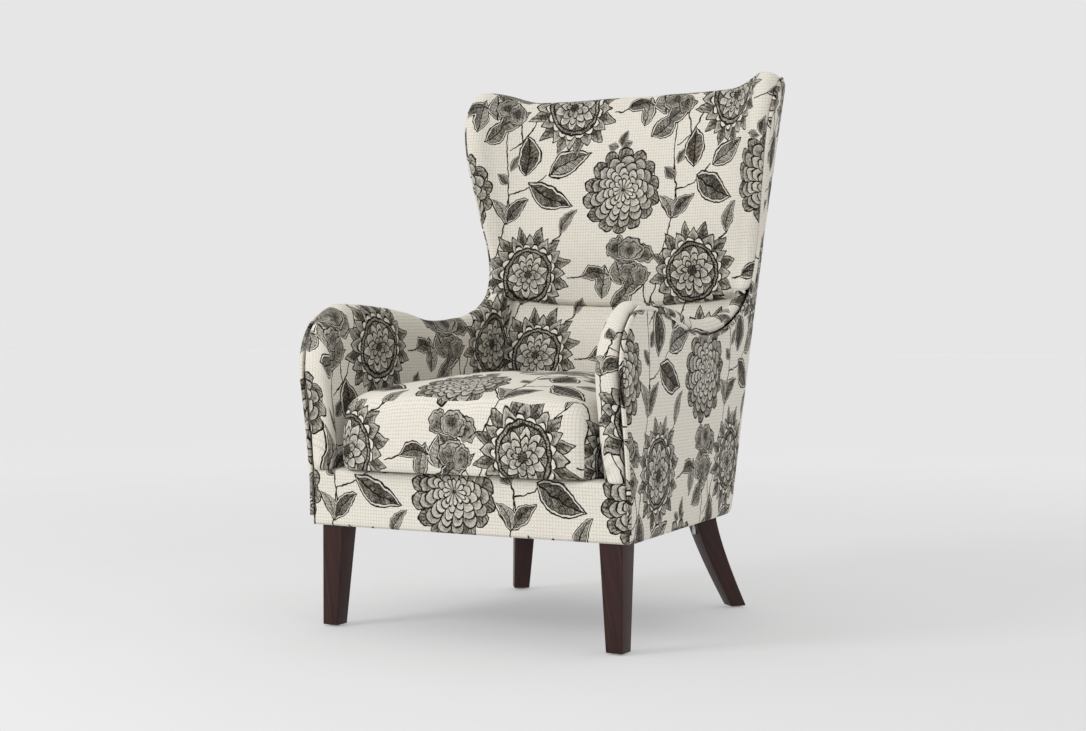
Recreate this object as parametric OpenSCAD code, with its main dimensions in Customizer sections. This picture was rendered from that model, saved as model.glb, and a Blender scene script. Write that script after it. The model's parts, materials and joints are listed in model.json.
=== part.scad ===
// Swoop-arm wing chair: a hardwood frame, springs, foam pads, fitted covers
// and one loose seat cushion. Millimetres, front faces -Y, +Z up, the origin
// on the floor under the middle of the chair.

/* [Overall] */
// Width across the front of the base
base_w = 638; // [620:1:660]
// Overall depth, front of the arms to the outside back
depth = 708; // [700:1:716]
// Height of the bottom edge of the upholstery
base_z = 180; // [170:1:190]
// Height of the middle of the back
back_z = 982; // [970:1:1000]

/* [Arms] */
// Height of the arm at its highest, near the front
arm_z = 562; // [555:1:570]
// How far the arm top swoops down behind that
swoop = 44; // [30:1:50]
// Half the clear width between the arms
seat_half = 268; // [262:1:272]

/* [Legs] */
// Side of a leg where it meets the base
leg_top = 43.5; // [40:0.5:48]
// Side of a leg at the floor
leg_foot = 31; // [28:0.5:34]
// How far a rear leg's foot stands outside its top
rear_splay = 45; // [30:1:50]
// How far a rear leg's foot stands behind its top
rear_rake = 60; // [40:1:64]

/* [Seat cushion] */
// Height of the cushion's bottom seam
cushion_z = 281; // [280:1:290]
// Height of the cushion at its front edge
cushion_h = 118; // [105:1:125]
// Extra height in the middle
crown = 40; // [20:1:45]

/* [Materials] */
// Thickness of the upholstery fabric
fabric = 2; // [1.5:0.5:2.5]
// Thickness of the hardwood frame boards
board = 22; // [18:1:24]
// Radius of the welt along the side edges
welt_r = 3.5; // [3:0.5:4]

/* [Hidden] */

fabric_colour = "antiquewhite";
foam_colour = "khaki";
wood_colour = "burlywood";
leg_colour = "saddlebrown";
steel_colour = "silver";
gap = 0.4;
front_y = -depth / 2;
base_front_y = front_y + 44;
base_rear_y = front_y + 588;
rise = back_z - base_z;

// ---- small vector and curve helpers ----
function mix(a, b, t) = a + (b - a) * t;
function unit(v) = v / max(norm(v), 1e-9);
function clamp01(t) = max(0, min(1, t));
function smooth(t) = let (s = clamp01(t)) s * s * (3 - 2 * s);
// Catmull-Rom curve through hand-placed points, t from 0 to 1
function knot(p, i) = p[max(0, min(len(p) - 1, i))];
function curve(p, t) =
    let (n = len(p) - 1, s = min(t * n, n - 1e-6), i = floor(s), f = s - i,
         a = knot(p, i - 1), b = knot(p, i), c = knot(p, i + 1), d = knot(p, i + 2))
    0.5 * (2 * b + (c - a) * f + (2 * a - 5 * b + 4 * c - d) * f * f
           + (3 * b - a - 3 * c + d) * f * f * f);

// ---- grids: lists of rows of points, and the solids made from them ----
function at(g, i, j) =
    g[max(0, min(len(g) - 1, i))][max(0, min(len(g[0]) - 1, j))];
function grid_normal(g, i, j) =
    unit(cross(at(g, i + 1, j) - at(g, i - 1, j), at(g, i, j + 1) - at(g, i, j - 1)));
function grid_offset(g, d) =
    [for (i = [0:len(g) - 1]) [for (j = [0:len(g[0]) - 1]) g[i][j] + d * grid_normal(g, i, j)]];
function joined(g) = [for (row = g) each row];

// Closed solid between two grids of the same shape; b lies against a's normals
module slab(a, b) {
    ni = len(a);
    nj = len(a[0]);
    n = ni * nj;
    function quad(p, q, r, s) = [[p, q, r], [p, r, s]];
    faces = [
        for (i = [0:ni - 2], j = [0:nj - 2])
            let (p = i * nj + j)
            each quad(p, p + 1, p + nj + 1, p + nj),
        for (i = [0:ni - 2], j = [0:nj - 2])
            let (p = n + i * nj + j)
            each quad(p, p + nj, p + nj + 1, p + 1),
        for (j = [0:nj - 2]) each quad(j, n + j, n + j + 1, j + 1),
        for (j = [0:nj - 2])
            let (p = (ni - 1) * nj + j)
            each quad(p, p + 1, n + p + 1, n + p),
        for (i = [0:ni - 2])
            let (p = i * nj)
            each quad(p, p + nj, n + p + nj, n + p),
        for (i = [0:ni - 2])
            let (p = i * nj + nj - 1)
            each quad(p, n + p, n + p + nj, p + nj)
    ];
    polyhedron(points = concat(joined(a), joined(b)), faces = faces);
}

// Round cord of radius r along a list of points
module cord(path, r, sides = 8) {
    n = len(path);
    rings = [for (i = [0:n - 1])
        let (d = unit(path[min(i + 1, n - 1)] - path[max(i - 1, 0)]),
             side = unit(cross(d, [1, 0.02, 0.03])), up = cross(side, d))
        [for (k = [0:sides - 1])
            path[i] + r * (cos(360 * k / sides) * side + sin(360 * k / sides) * up)]];
    faces = concat(
        [[for (k = [sides - 1:-1:0]) k]],
        [for (i = [0:n - 2], k = [0:sides - 1])
            let (p = i * sides + k, q = i * sides + (k + 1) % sides)
            each [[p, q + sides, p + sides], [p, q, q + sides]]],
        [[for (k = [0:sides - 1]) (n - 1) * sides + k]]);
    polyhedron(points = joined(rings), faces = faces);
}

// Straight board from a to b: w across (nearest to the X axis), t the other way
module beam(a, b, w, t) {
    d = unit(b - a);
    side = unit([1, 0, 0] - d * d[0]);
    up = cross(d, side);
    m = [[side[0], up[0], d[0], a[0]], [side[1], up[1], d[1], a[1]],
         [side[2], up[2], d[2], a[2]], [0, 0, 0, 1]];
    multmatrix(m) translate([-w / 2, -t / 2, 0]) cube([w, t, norm(b - a)]);
}

module both(right) {
    if (right) children();
    else mirror([1, 0, 0]) children();
}

// ---- the chair's outer shape, right-hand side ----
// Rear corner line, from the base to the top
function rise_angle(z) = 180 * (z - base_z) / rise;
function rear_y(z) = base_rear_y + 0.141 * (z - base_z) + 8 * sin(rise_angle(z));
function rear_x(z) = base_w / 2 - 76 + 0.0693 * (z - base_z) - 6.5 * sin(rise_angle(z));
// Outer side, wider towards the wing's front edge
function side_x(y, z) =
    let (t = clamp01((y - base_front_y) / (rear_y(z) - base_front_y)),
         h = max(0, z - base_z))
    mix(base_w / 2, rear_x(z), t) + 0.465 * h * pow(t, 3) * (1 - t);
// Outline of the side seen square on, as [distance behind front_y, z]
front_outline = [
    [33, base_z], [32, base_z + 70], [25, base_z + 140], [14, base_z + 210],
    [4, base_z + 275], [12, arm_z - 57], [39, arm_z - 19], [71, arm_z - 1]];
top_outline = [
    [71, arm_z - 1], [134, arm_z - 3], [200, arm_z - 16], [270, arm_z - 33],
    [344, arm_z - swoop - 5], [430, arm_z - swoop + 4], [500, arm_z - 15],
    [560, arm_z + 22], [584, arm_z + 64], [590, arm_z + 120], [579, arm_z + 185],
    [568, arm_z + 248], [559, arm_z + 303], [561, arm_z + 358], [575, arm_z + 400],
    [602, back_z + 10]];
// Where along the top outline the arm ends and the wing begins
wing_start = 0.47;
function front_edge(v) = [front_y, 0] + curve(front_outline, v);
function top_edge(u) = [front_y, 0] + curve(top_outline, u);
// The top edge drawn in by d, square to itself
function top_inset(u, d) =
    let (along = unit(top_edge(min(1, u + 0.01)) - top_edge(max(0, u - 0.01))))
    top_edge(u) + d * [along[1], -along[0]];
function bottom_edge(u) =
    u < wing_start
    ? [mix(front_edge(0)[0], base_rear_y, u / wing_start), base_z]
    : let (z = mix(base_z, back_z - 8, (u - wing_start) / (1 - wing_start))) [rear_y(z), z];
function crest_edge(v) = mix(bottom_edge(1), top_edge(1), v) + [0, 8 * sin(180 * v)];
// Patch ruled from the bottom edge to the top one, bent near its ends to meet the other two
function side_yz(u, v, inset) =
    mix(bottom_edge(u), top_inset(u, inset), v)
    + pow(1 - u, 12) * (front_edge(v) - mix(bottom_edge(0), top_edge(0), v))
    + pow(u, 12) * (crest_edge(v) - mix(bottom_edge(1), top_edge(1), v));
function on_side(p, depth = 0) = [side_x(p[0], p[1]) - depth, p[0], p[1]];

// ---- inner faces ----
// Inner face of an arm at depth y
function arm_x(y) = seat_half - 17 * clamp01((y - base_front_y) / 540);
// Thinnest that a side may be, where it tapers to the rear corner
side_min = 20;
function inner_x(y, z) = min(arm_x(y), side_x(y, z) - side_min);
// Level of the seat deck, where the inner covers tuck in
deck_z = cushion_z - 1.5;
arm_steps = 20;
arm_rows = 11;
arm_end = 0.478;
// Foot of the arm's inner face, on the deck
function arm_root(u) = [mix(front_y + 62, base_rear_y - 6, smooth(u * 0.5 + u * u * 0.5)), deck_z];
// Edge of the arm from the deck's level at the front to where the wing begins
function arm_outline(u) =
    let (front = 0.34, low = (deck_z - base_z) / (arm_z - base_z) * 0.86)
    u < front ? front_edge(mix(low, 1, u / front))
    : top_edge((u - front) / (1 - front) * arm_end);
// How far the padding stands proud of the welt along that edge
function arm_crown(u) = 4 + 22 * pow(sin(180 * clamp01((u - 0.38) / 0.62)), 2);
function arm_section(u, w) =
    let (o = arm_outline(u), r = arm_root(u), d = unit(r - o), deep = norm(r - o),
         xo = side_x(o[0], o[1]) - welt_r - 1, xi = arm_x(o[0]), c = arm_crown(u),
         p = w < 0.6
             ? curve([[xo, 0], [mix(xo, xi, 0.22), -c * 0.8], [mix(xo, xi, 0.55), -c],
                      [mix(xo, xi, 0.86), 12 - c * 0.7], [xi, min(46, deep * 0.8)]], w / 0.6)
             : [xi, mix(min(46, deep * 0.8), deep, (w - 0.6) / 0.4)],
         q = o + d * p[1])
    [p[0] == xi ? inner_x(q[0], q[1]) : p[0], q[0], q[1]];
arm_skin = [for (i = [0:arm_steps]) [for (j = [0:arm_rows])
    arm_section(i / arm_steps, j / arm_rows)]];

// Middle of the inside back at height z
function back_y(z) = front_y + curve([[606], [604], [614], [628], [650]], (z - 570) / 400)[0];
// Seam between the lumbar section and the inside back, rising to the sides
function crease_z(x) = arm_z + 8 + 25 * pow(abs(x) / 278, 2);
// Front of the frame behind the back padding
function frame_y(z) = rear_y(z) - fabric - board - 5;
back_start = 0.49;
wing_t = 0.56;
// Inside back and wing: t runs from the middle to the wing's edge; v climbs from the
// crease at 0 to the front of the top at 1, and over the top to the rear at 2
function wing_edge(v) = top_edge(mix(back_start, 1, min(v, 1)));
function back_front(v, t) =
    let (w = wing_edge(v), xw = side_x(w[0], w[1]) - welt_r,
         zc = mix(arm_z + 8, back_z, v), yc = back_y(zc),
         p = curve([[0, yc], [0.3 * xw, yc + 1], [0.57 * xw, yc - 3],
                    [0.76 * xw, mix(yc, w[0], 0.42)], [0.87 * xw, mix(yc, w[0], 0.86)],
                    [0.95 * xw, w[0] - 5], [xw, w[0] + 1]], t),
         zm = mix(crease_z(p[0]), back_z, v))
    [p[0], p[1], mix(zm, w[1], smooth((t - 0.45) / 0.5))];
function back_point(v, t) =
    v <= 1 ? back_front(v, t)
    : let (p = back_front(1, t), s = v - 1, z = back_z - 8,
           narrowing = (rear_x(z) - 4) / back_front(1, 1)[0])
    mix(p, [p[0] * narrowing, rear_y(z) - 2, z], s) + [0, 0, 6 * sin(180 * s)];
function mirrored(p) = [-p[0], p[1], p[2]];
function back_both(v, t) = t < 0 ? mirrored(back_point(v, -t)) : back_point(v, t);
heights = concat([for (i = [0:10]) i / 10], [1.33, 1.67, 2]);
function back_grid(t0, t1, n) =
    [for (i = [0:n]) [for (v = heights) back_both(v, mix(t0, t1, i / n))]];
// Behind the padding: the front of the back frame, then over the top rail
function back_core(v, t) =
    let (p = back_both(min(v, 1), t), z = mix(crease_z(p[0]), back_z - 22, min(v, 1)))
    [p[0], mix(frame_y(z), rear_y(z) - 6, max(0, v - 1)), z];

// ---- frame ----
module wood() { color(wood_colour) children(); }
rail_h = 76;
rail_z = base_z + 6;
rail_front_y = base_front_y - 6;
front_rail_half = base_w / 2 - 8;
back_rail_half = rear_x(base_z) - 27;
back_rail_y = base_rear_y - board - 6;
module front_rail() {
    wood() translate([-front_rail_half, rail_front_y, rail_z])
        cube([2 * front_rail_half, board, rail_h]);
}
module back_rail() {
    wood() translate([-back_rail_half, back_rail_y, rail_z])
        cube([2 * back_rail_half, board, rail_h]);
}
module side_rail() {
    in = board / 2 + 5;
    a = [base_w / 2 - in - 3, rail_front_y + board + 2.5, rail_z + rail_h / 2];
    b = [rear_x(base_z) - in + 1, base_rear_y - 6, rail_z + rail_h / 2];
    wood() beam(a, b, board, rail_h);
}
module side_rail_right() { side_rail(); }
module side_rail_left() { both(false) side_rail(); }
block_h = 40;
block = 62;
module corner_block(p, turn) {
    translate([p[0], p[1], rail_z]) rotate(turn)
        linear_extrude(block_h) polygon([[0, 0], [block, 0], [0, block]]);
}
module corner_blocks() {
    wood() difference() {
        union() {
            for (side = [false, true]) both(side) {
                corner_block([front_rail_half - 32, rail_front_y + board + 2], 90);
                corner_block([back_rail_half - 2, back_rail_y - 2], 180);
            }
        }
        leg_bolts();
    }
}

post_x = base_w / 2 - 7.5 - board;
post_y = rail_front_y;
post_deep = 44;
rail_top = rail_z + rail_h;
module arm_post() {
    wood() translate([post_x, post_y, rail_top])
        cube([board, post_deep, arm_z - 50 - rail_top]);
}
module arm_post_right() { arm_post(); }
module arm_post_left() { both(false) arm_post(); }

arm_rail_z = arm_z - swoop - 38;
arm_rail_w = 14;
module arm_rail() {
    rear = rear_y(arm_rail_z) - 48;
    wood() beam([base_w / 2 - 16, post_y + post_deep + 1, arm_rail_z],
                [side_x(rear, arm_rail_z) - arm_rail_w / 2 - 4, rear, arm_rail_z], arm_rail_w, 34);
}
module arm_rail_right() { arm_rail(); }
module arm_rail_left() { both(false) arm_rail(); }

// Back posts, inside the rear corner line
post_foot_z = base_z + 88;
post_head_z = back_z - 30;
post_foot = [rear_x(post_foot_z) - 31, rear_y(post_foot_z) - 19, post_foot_z];
post_head = [rear_x(post_head_z) - 23, rear_y(post_head_z) - 19, post_head_z];
module back_post() { wood() beam(post_foot, post_head, board, 28); }
module back_post_right() { back_post(); }
module back_post_left() { both(false) back_post(); }

// Cross rail of the back, tilted with it; h high, centred on height z
module cross_rail(z, h) {
    lean = atan((rear_y(z + 30) - rear_y(z - 30)) / 60);
    up = (z - post_foot_z) / (post_head_z - post_foot_z);
    half = mix(post_foot, post_head, up)[0] - board / 2 - 2;
    wood() translate([0, rear_y(z) - fabric - board / 2 - 3, z]) rotate([-lean, 0, 0])
        cube([2 * half, board, h], center = true);
}
top_rail_z = back_z - 54;
lumbar_rail_z = arm_z + 24;
tuck_rail_z = base_z + 150;
module top_rail() { cross_rail(top_rail_z, 52); }
module lumbar_rail() { cross_rail(lumbar_rail_z, 48); }
module tuck_rail() { cross_rail(tuck_rail_z, 48); }

function wing_board_face(depth) =
    [for (i = [0:14]) [for (j = [0:3])
        on_side(side_yz(mix(0.56, 0.975, i / 14), mix(0.5, 1, j / 3), 12), depth)]];
module wing_board() {
    wood() slab(wing_board_face(3), wing_board_face(15));
}
module wing_board_right() { wing_board(); }
module wing_board_left() { both(false) wing_board(); }

// ---- seat and back suspension ----
spring_rows = 5;
spring_pitch = 84.5;
spring_z = rail_top + 2.4;
spring_front = rail_front_y + 9;
spring_rear = base_rear_y - 15;
wire_r = 1.9;
function spring_x(k) = (k - (spring_rows - 1) / 2) * spring_pitch;
module seat_springs() {
    bends = 6;
    bend = 20;
    arch = 3;
    steps = 54;
    color(steel_colour) for (k = [0:spring_rows - 1])
        cord([for (i = [0:steps]) let (t = i / steps)
            [spring_x(k) + bend * sin(360 * bends * t), mix(spring_front, spring_rear, t),
             spring_z + arch * sin(180 * t)]], wire_r, 5);
}
clip_w = 34;
clip_h = 5.6;
clip_reach = 13;
module spring_clips() {
    color(steel_colour) for (k = [0:spring_rows - 1], end = [0, 1])
        translate([spring_x(k), end ? spring_rear + 3.4 : spring_front - 3.4, rail_top])
            mirror([0, end, 0]) translate([-clip_w / 2, -1.5, 0]) union() {
                cube([clip_w, 1.5, clip_h]);
                translate([0, 0, clip_h - 1.2]) cube([clip_w, clip_reach, 1.2]);
            }
}
deck_front_half = base_w / 2 - 34;
deck_rear_half = seat_half - 67;
deck_rear_y = base_rear_y - 8;
deck_outline = [
    [-deck_front_half, rail_front_y], [deck_front_half, rail_front_y],
    [deck_front_half, post_y + post_deep + 2], [deck_rear_half, deck_rear_y],
    [-deck_rear_half, deck_rear_y], [-deck_front_half, post_y + post_deep + 2]];
cloth_z = spring_z + 6.2;
module deck_cloth() {
    color("gainsboro") translate([0, 0, cloth_z]) linear_extrude(0.8) polygon(deck_outline);
}
module deck_pad() {
    color(foam_colour) translate([0, 0, cloth_z + 1])
        linear_extrude(deck_z - cloth_z - 2) polygon(deck_outline);
}
strap_w = 50;
strap_pitch = 130;
strap_spans = [[tuck_rail_z + 26, lumbar_rail_z - 26], [lumbar_rail_z + 26, top_rail_z - 28]];
module back_webbing() {
    color("tan") for (k = [-1:1], span = strap_spans)
        beam([k * strap_pitch, rear_y(span[0]) - 14, span[0]],
             [k * strap_pitch, rear_y(span[1]) - 14, span[1]], strap_w, 1.6);
}
module dust_cover() {
    front_half = base_w / 2 - 7;
    rear_half = rear_x(base_z) - 7;
    color("dimgray") translate([0, 0, base_z + 1]) linear_extrude(0.8) difference() {
        polygon([
            [-front_half, base_front_y - 6], [front_half, base_front_y - 6],
            [rear_half, base_rear_y - 5], [-rear_half, base_rear_y - 5]]);
        for (side = [-1, 1]) {
            translate([side * leg_front[0], leg_front[1]]) square(plate_side + 1, center = true);
            translate([side * leg_rear[0], leg_rear[1]]) rotate(side * rear_turn)
                square(plate_side + 1, center = true);
        }
    }
}

// ---- legs ----
glide_h = 3;
plate_h = 3;
plate_side = 38;
leg_corner = [base_w / 2 - 18, base_front_y - 3];
leg_front = leg_corner + [-leg_top / 2, leg_top / 2];
leg_rear = [193, base_rear_y - 31];
rear_turn = atan2(rear_rake, rear_splay);
rear_throw = norm([rear_rake, rear_splay]);
bolt_r = 4;
bolt_in_leg = 38;
bolt_front = leg_front + [-14, 14];
bolt_rear = leg_rear + [-6, -12];

// Both tapers of a leg: across and along, each an outline swept straight
module leg_taper(across, along) {
    intersection() {
        translate([0, 60, 0]) rotate([90, 0, 0]) linear_extrude(120) polygon(across);
        translate([-120, 0, 0]) rotate([90, 0, 90]) linear_extrude(240) polygon(along);
    }
}
function straight_side(top, foot) = [[0, glide_h], [foot, glide_h], [top, base_z], [0, base_z]];
module front_leg() {
    side = straight_side(leg_top, leg_foot);
    color(leg_colour) difference() {
        translate([leg_corner[0], leg_corner[1], 0]) mirror([1, 0, 0]) leg_taper(side, side);
        leg_bolts();
    }
}
// Sabre curve: the foot sweeps out late
function sweep(z) = rear_throw * pow(1 - (z - glide_h) / (base_z - glide_h), 1.25);
function leg_side(z) = mix(leg_foot, leg_top, (z - glide_h) / (base_z - glide_h));
sabre_heights = [for (i = [0:7]) mix(glide_h, base_z, i / 7)];
module rear_leg() {
    sabre = concat(
        [for (z = sabre_heights) [sweep(z) + leg_side(z) / 2, z]],
        [for (i = [7:-1:0]) let (z = sabre_heights[i]) [sweep(z) - leg_side(z) / 2, z]]);
    across = [[-leg_foot / 2, glide_h], [leg_foot / 2, glide_h],
              [leg_top / 2, base_z], [-leg_top / 2, base_z]];
    color(leg_colour) difference() {
        translate([leg_rear[0], leg_rear[1], 0]) rotate(rear_turn) leg_taper(sabre, across);
        leg_bolts();
    }
}
module front_leg_right() { front_leg(); }
module front_leg_left() { both(false) front_leg(); }
module rear_leg_right() { rear_leg(); }
module rear_leg_left() { both(false) rear_leg(); }
module leg_bolts() {
    color(steel_colour) for (side = [-1, 1], p = [bolt_front, bolt_rear])
        translate([side * p[0], p[1], base_z - bolt_in_leg])
            cylinder(h = bolt_in_leg + rail_z - base_z + block_h, r = bolt_r, $fn = 32);
}
module leg_plates() {
    color(steel_colour) difference() {
        for (side = [false, true]) both(side) {
            translate([leg_front[0], leg_front[1], base_z + plate_h / 2])
                cube([plate_side, plate_side, plate_h], center = true);
            translate([leg_rear[0], leg_rear[1], base_z + plate_h / 2]) rotate(rear_turn)
                cube([plate_side, plate_side, plate_h], center = true);
        }
        leg_bolts();
    }
}
foot_front = leg_corner + [-leg_foot / 2, leg_foot / 2];
foot_rear = leg_rear + [rear_splay, rear_rake];
module leg_glides() {
    color("white") for (side = [-1, 1], p = [foot_front, foot_rear])
        translate([side * p[0], p[1], 0]) cylinder(h = glide_h, r = 10, $fn = 48);
}

// ---- pads ----
module foam() { color(foam_colour) children(); }
arm_core = [for (i = [0:arm_steps]) [for (j = [0:arm_rows])
    let (w = j / arm_rows, u = i / arm_steps,
         q = mix(arm_outline(u), arm_root(u), mix(0.06, 0.97, w)),
         thick = side_x(q[0], q[1]) - inner_x(q[0], q[1]))
    on_side(q, min(thick - 6, mix(5, 26, smooth(w / 0.3))))]];
module arm_pad() {
    foam() difference() {
        slab(grid_offset(arm_skin, -fabric - gap), arm_core);
        arm_post();
        arm_rail();
        back_post();
        side_welt();
    }
}
module arm_pad_right() { arm_pad(); }
module arm_pad_left() { both(false) arm_pad(); }

wing_steps = 12;
wing_skin = back_grid(wing_t + 0.01, 0.98, wing_steps);
// Behind the wing pad: along the back frame, then forward along the wing board
function wing_core(v, s) =
    let (c = back_core(v, wing_t + 0.01), z = mix(c[2], wing_edge(v)[1] - 14, s),
         y = s < 0.5 ? mix(c[1], frame_y(z), 2 * s) : mix(frame_y(z), wing_edge(v)[0] + 9, 2 * s - 1))
    [s < 0.5 ? mix(c[0], side_x(y, z) - 40, 2 * s) : side_x(y, z) - mix(40, 17, 2 * s - 1), y, z];
module wing_pad() {
    foam() difference() {
        slab(grid_offset(wing_skin, -fabric - 2 * gap),
             [for (i = [0:wing_steps]) [for (v = heights) wing_core(v, i / wing_steps)]]);
        back_post();
        wing_board();
    }
}
module wing_pad_right() { wing_pad(); }
module wing_pad_left() { both(false) wing_pad(); }

back_steps = 16;
module back_pad() {
    foam() difference() {
        slab(grid_offset(back_grid(-wing_t, wing_t, back_steps), -fabric - 2 * gap),
             [for (i = [0:back_steps]) [for (v = heights)
                 back_core(v, mix(-wing_t, wing_t, i / back_steps))]]);
        for (side = [false, true]) both(side) back_post();
    }
}

// Lumbar section between the arms, under the crease
function lumbar_point(s, r) =
    let (y = front_y + curve([[564], [568], [571], [575], [588], [611]], r)[0],
         x = s * (inner_x(min(y, base_rear_y - 8), mix(deck_z, crease_z(240), r)) - 3))
    [x, y - 5 * s * s, mix(deck_z, crease_z(x) - 4, r)];
lumbar_skin = [for (i = [0:12]) [for (j = [0:10]) lumbar_point(i / 6 - 1, j / 10)]];
module lumbar_pad() {
    foam() difference() {
        slab(grid_offset(lumbar_skin, -fabric - gap),
             [for (row = lumbar_skin) [for (p = row) [p[0], max(frame_y(p[2]), p[1] + 6), p[2]]]]);
        for (side = [false, true]) both(side) back_post();
    }
}

// ---- fitted covers ----
module cloth() { color(fabric_colour) children(); }
module cover(g) { slab(g, grid_offset(g, -fabric)); }
// The fabric band across the front of the base
band_steps = 12;
module front_band() {
    half = base_w / 2 - welt_r - 1.5;
    cloth() cover([for (i = [0:band_steps]) [for (j = [0:4])
        let (s = 2 * i / band_steps - 1, z = mix(base_z, deck_z, j / 4))
        [half * s, front_edge((z - base_z) / (arm_z - base_z))[0] - 4 * (1 - s * s), z]]]);
}
module inside_arm_cover() {
    cloth() difference() {
        cover(arm_skin);
        side_welt();
    }
}
module inside_arm_cover_right() { inside_arm_cover(); }
module inside_arm_cover_left() { both(false) inside_arm_cover(); }
module inside_back_cover() {
    cloth() difference() {
        cover(back_grid(-1, 1, 28));
        for (side = [false, true]) both(side) side_welt();
    }
}
module lumbar_cover() { cloth() cover(lumbar_skin); }
side_steps = 32;
side_rows = 8;
module outside_side_cover() {
    cloth() cover([for (i = [0:side_steps])
        let (u = mix(0.014, 0.994, i / side_steps))
        [for (j = [0:side_rows]) on_side(side_yz(u, j / side_rows, welt_r + 1.5))]]);
}
module outside_side_cover_right() { outside_side_cover(); }
module outside_side_cover_left() { both(false) outside_side_cover(); }
module outside_back_cover() {
    cloth() cover([for (i = [0:12]) [for (j = [0:12])
        let (z = mix(base_z, back_z - 9, i / 12), s = j / 6 - 1)
        [s * (rear_x(z) - fabric - 0.8), rear_y(z) + 6 * (1 - s * s), z]]]);
}
module side_welt() {
    cloth() cord([
        for (i = [1:22]) let (p = front_edge(i / 22)) [side_x(p[0], p[1]) - 1, p[0], p[1]],
        for (i = [1:48]) let (p = top_edge(i / 48)) [side_x(p[0], p[1]) - 1, p[0], p[1]]
    ], welt_r, 6);
}
module side_welt_right() { side_welt(); }
module side_welt_left() { both(false) side_welt(); }

// ---- loose seat cushion ----
cushion_l = 560;
cushion_front_y = front_y + 0.5;
// Outline of the cushion drawn in by inset, at height z
function cushion_ring(inset, z) =
    [for (k = [0:35])
        let (c = cos(k * 10), s = sin(k * 10), e = 0.22,
             across = sign(c) * pow(abs(c), e), along = sign(s) * pow(abs(s), e),
             y = cushion_front_y + cushion_l / 2 + along * (cushion_l / 2 - inset))
        [across * (seat_half - 5 - 33 * (y - cushion_front_y) / cushion_l - inset), y, z]];
// Side and crown as [inset, height above the bottom seam]
cushion_profile = [
    [5, 0], [1, 12], [0, cushion_h * 0.5], [2, cushion_h * 0.85], [14, cushion_h + 2],
    [45, cushion_h + crown * 0.35], [110, cushion_h + crown * 0.75],
    [170, cushion_h + crown * 0.94], [215, cushion_h + crown]];
module loft(rings) {
    n = len(rings);
    m = len(rings[0]);
    polyhedron(points = joined(rings), faces = concat(
        [[for (k = [0:m - 1]) k]],
        [for (i = [0:n - 2], k = [0:m - 1])
            let (p = i * m + k, q = i * m + (k + 1) % m)
            each [[p, p + m, q + m], [p, q + m, q]]],
        [[for (k = [m - 1:-1:0]) (n - 1) * m + k]]));
}
// The cushion's body shrunk by d, with its bottom at height foot
module cushion_body(d, foot) {
    loft(concat(
        [cushion_ring(cushion_profile[0][0] + d, foot)],
        [for (i = [1:len(cushion_profile) - 1])
            cushion_ring(cushion_profile[i][0] + d,
                         max(foot + i, cushion_z + cushion_profile[i][1] - d))]));
}
wrap = 14;
module cushion_core() { foam() cushion_body(fabric + gap + wrap, cushion_z + fabric + gap); }
module cushion_wrap() {
    color("white") difference() {
        cushion_body(fabric + gap, cushion_z + fabric + gap);
        cushion_body(fabric + gap + wrap - gap, cushion_z - 5);
    }
}
module cushion_top_cover() {
    cloth() difference() {
        cushion_body(0, cushion_z);
        cushion_body(fabric, cushion_z - 5);
    }
}
module cushion_bottom_cover() {
    cloth() translate([0, 0, cushion_z]) linear_extrude(fabric)
        polygon([for (p = cushion_ring(cushion_profile[0][0] + fabric + gap, 0)) [p[0], p[1]]]);
}
zip_l = 300;
module cushion_zip() {
    color("dimgray") translate([-zip_l / 2, cushion_front_y + cushion_l + 0.3, cushion_z + 14])
        cube([zip_l, 1.6, 12]);
}

front_rail();
back_rail();
side_rail_left();
side_rail_right();
corner_blocks();
arm_post_left();
arm_post_right();
arm_rail_left();
arm_rail_right();
back_post_left();
back_post_right();
top_rail();
lumbar_rail();
tuck_rail();
wing_board_left();
wing_board_right();
seat_springs();
spring_clips();
deck_cloth();
deck_pad();
back_webbing();
dust_cover();
front_leg_left();
front_leg_right();
rear_leg_left();
rear_leg_right();
leg_bolts();
leg_plates();
leg_glides();
arm_pad_left();
arm_pad_right();
wing_pad_left();
wing_pad_right();
back_pad();
lumbar_pad();
front_band();
inside_arm_cover_left();
inside_arm_cover_right();
inside_back_cover();
lumbar_cover();
outside_side_cover_left();
outside_side_cover_right();
outside_back_cover();
side_welt_left();
side_welt_right();
cushion_core();
cushion_wrap();
cushion_top_cover();
cushion_bottom_cover();
cushion_zip();
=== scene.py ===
"""Swoop-arm wing chair in a printed weave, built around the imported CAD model.

Shapes are worked out in millimetres, in the same frame as the CAD: the front
faces -Y, +Z is up, and the origin is on the floor under the chair's middle.
Meshes are made in metres.
"""

import json
import math

import bpy
import numpy as np
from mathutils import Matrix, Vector, noise


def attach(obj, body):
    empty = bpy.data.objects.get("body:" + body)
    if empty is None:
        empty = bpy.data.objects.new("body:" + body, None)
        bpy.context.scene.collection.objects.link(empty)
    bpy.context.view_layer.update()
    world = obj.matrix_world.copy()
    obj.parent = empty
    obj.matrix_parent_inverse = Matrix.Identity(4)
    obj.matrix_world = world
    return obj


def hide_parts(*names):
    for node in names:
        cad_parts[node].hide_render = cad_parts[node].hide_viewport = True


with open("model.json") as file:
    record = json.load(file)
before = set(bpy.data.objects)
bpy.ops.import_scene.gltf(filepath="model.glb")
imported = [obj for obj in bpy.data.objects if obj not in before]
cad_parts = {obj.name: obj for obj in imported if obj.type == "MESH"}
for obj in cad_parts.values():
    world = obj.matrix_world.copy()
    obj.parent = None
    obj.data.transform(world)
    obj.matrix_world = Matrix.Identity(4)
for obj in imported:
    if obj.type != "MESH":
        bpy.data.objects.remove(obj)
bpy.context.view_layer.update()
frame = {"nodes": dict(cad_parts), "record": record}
MM = 0.001

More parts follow.
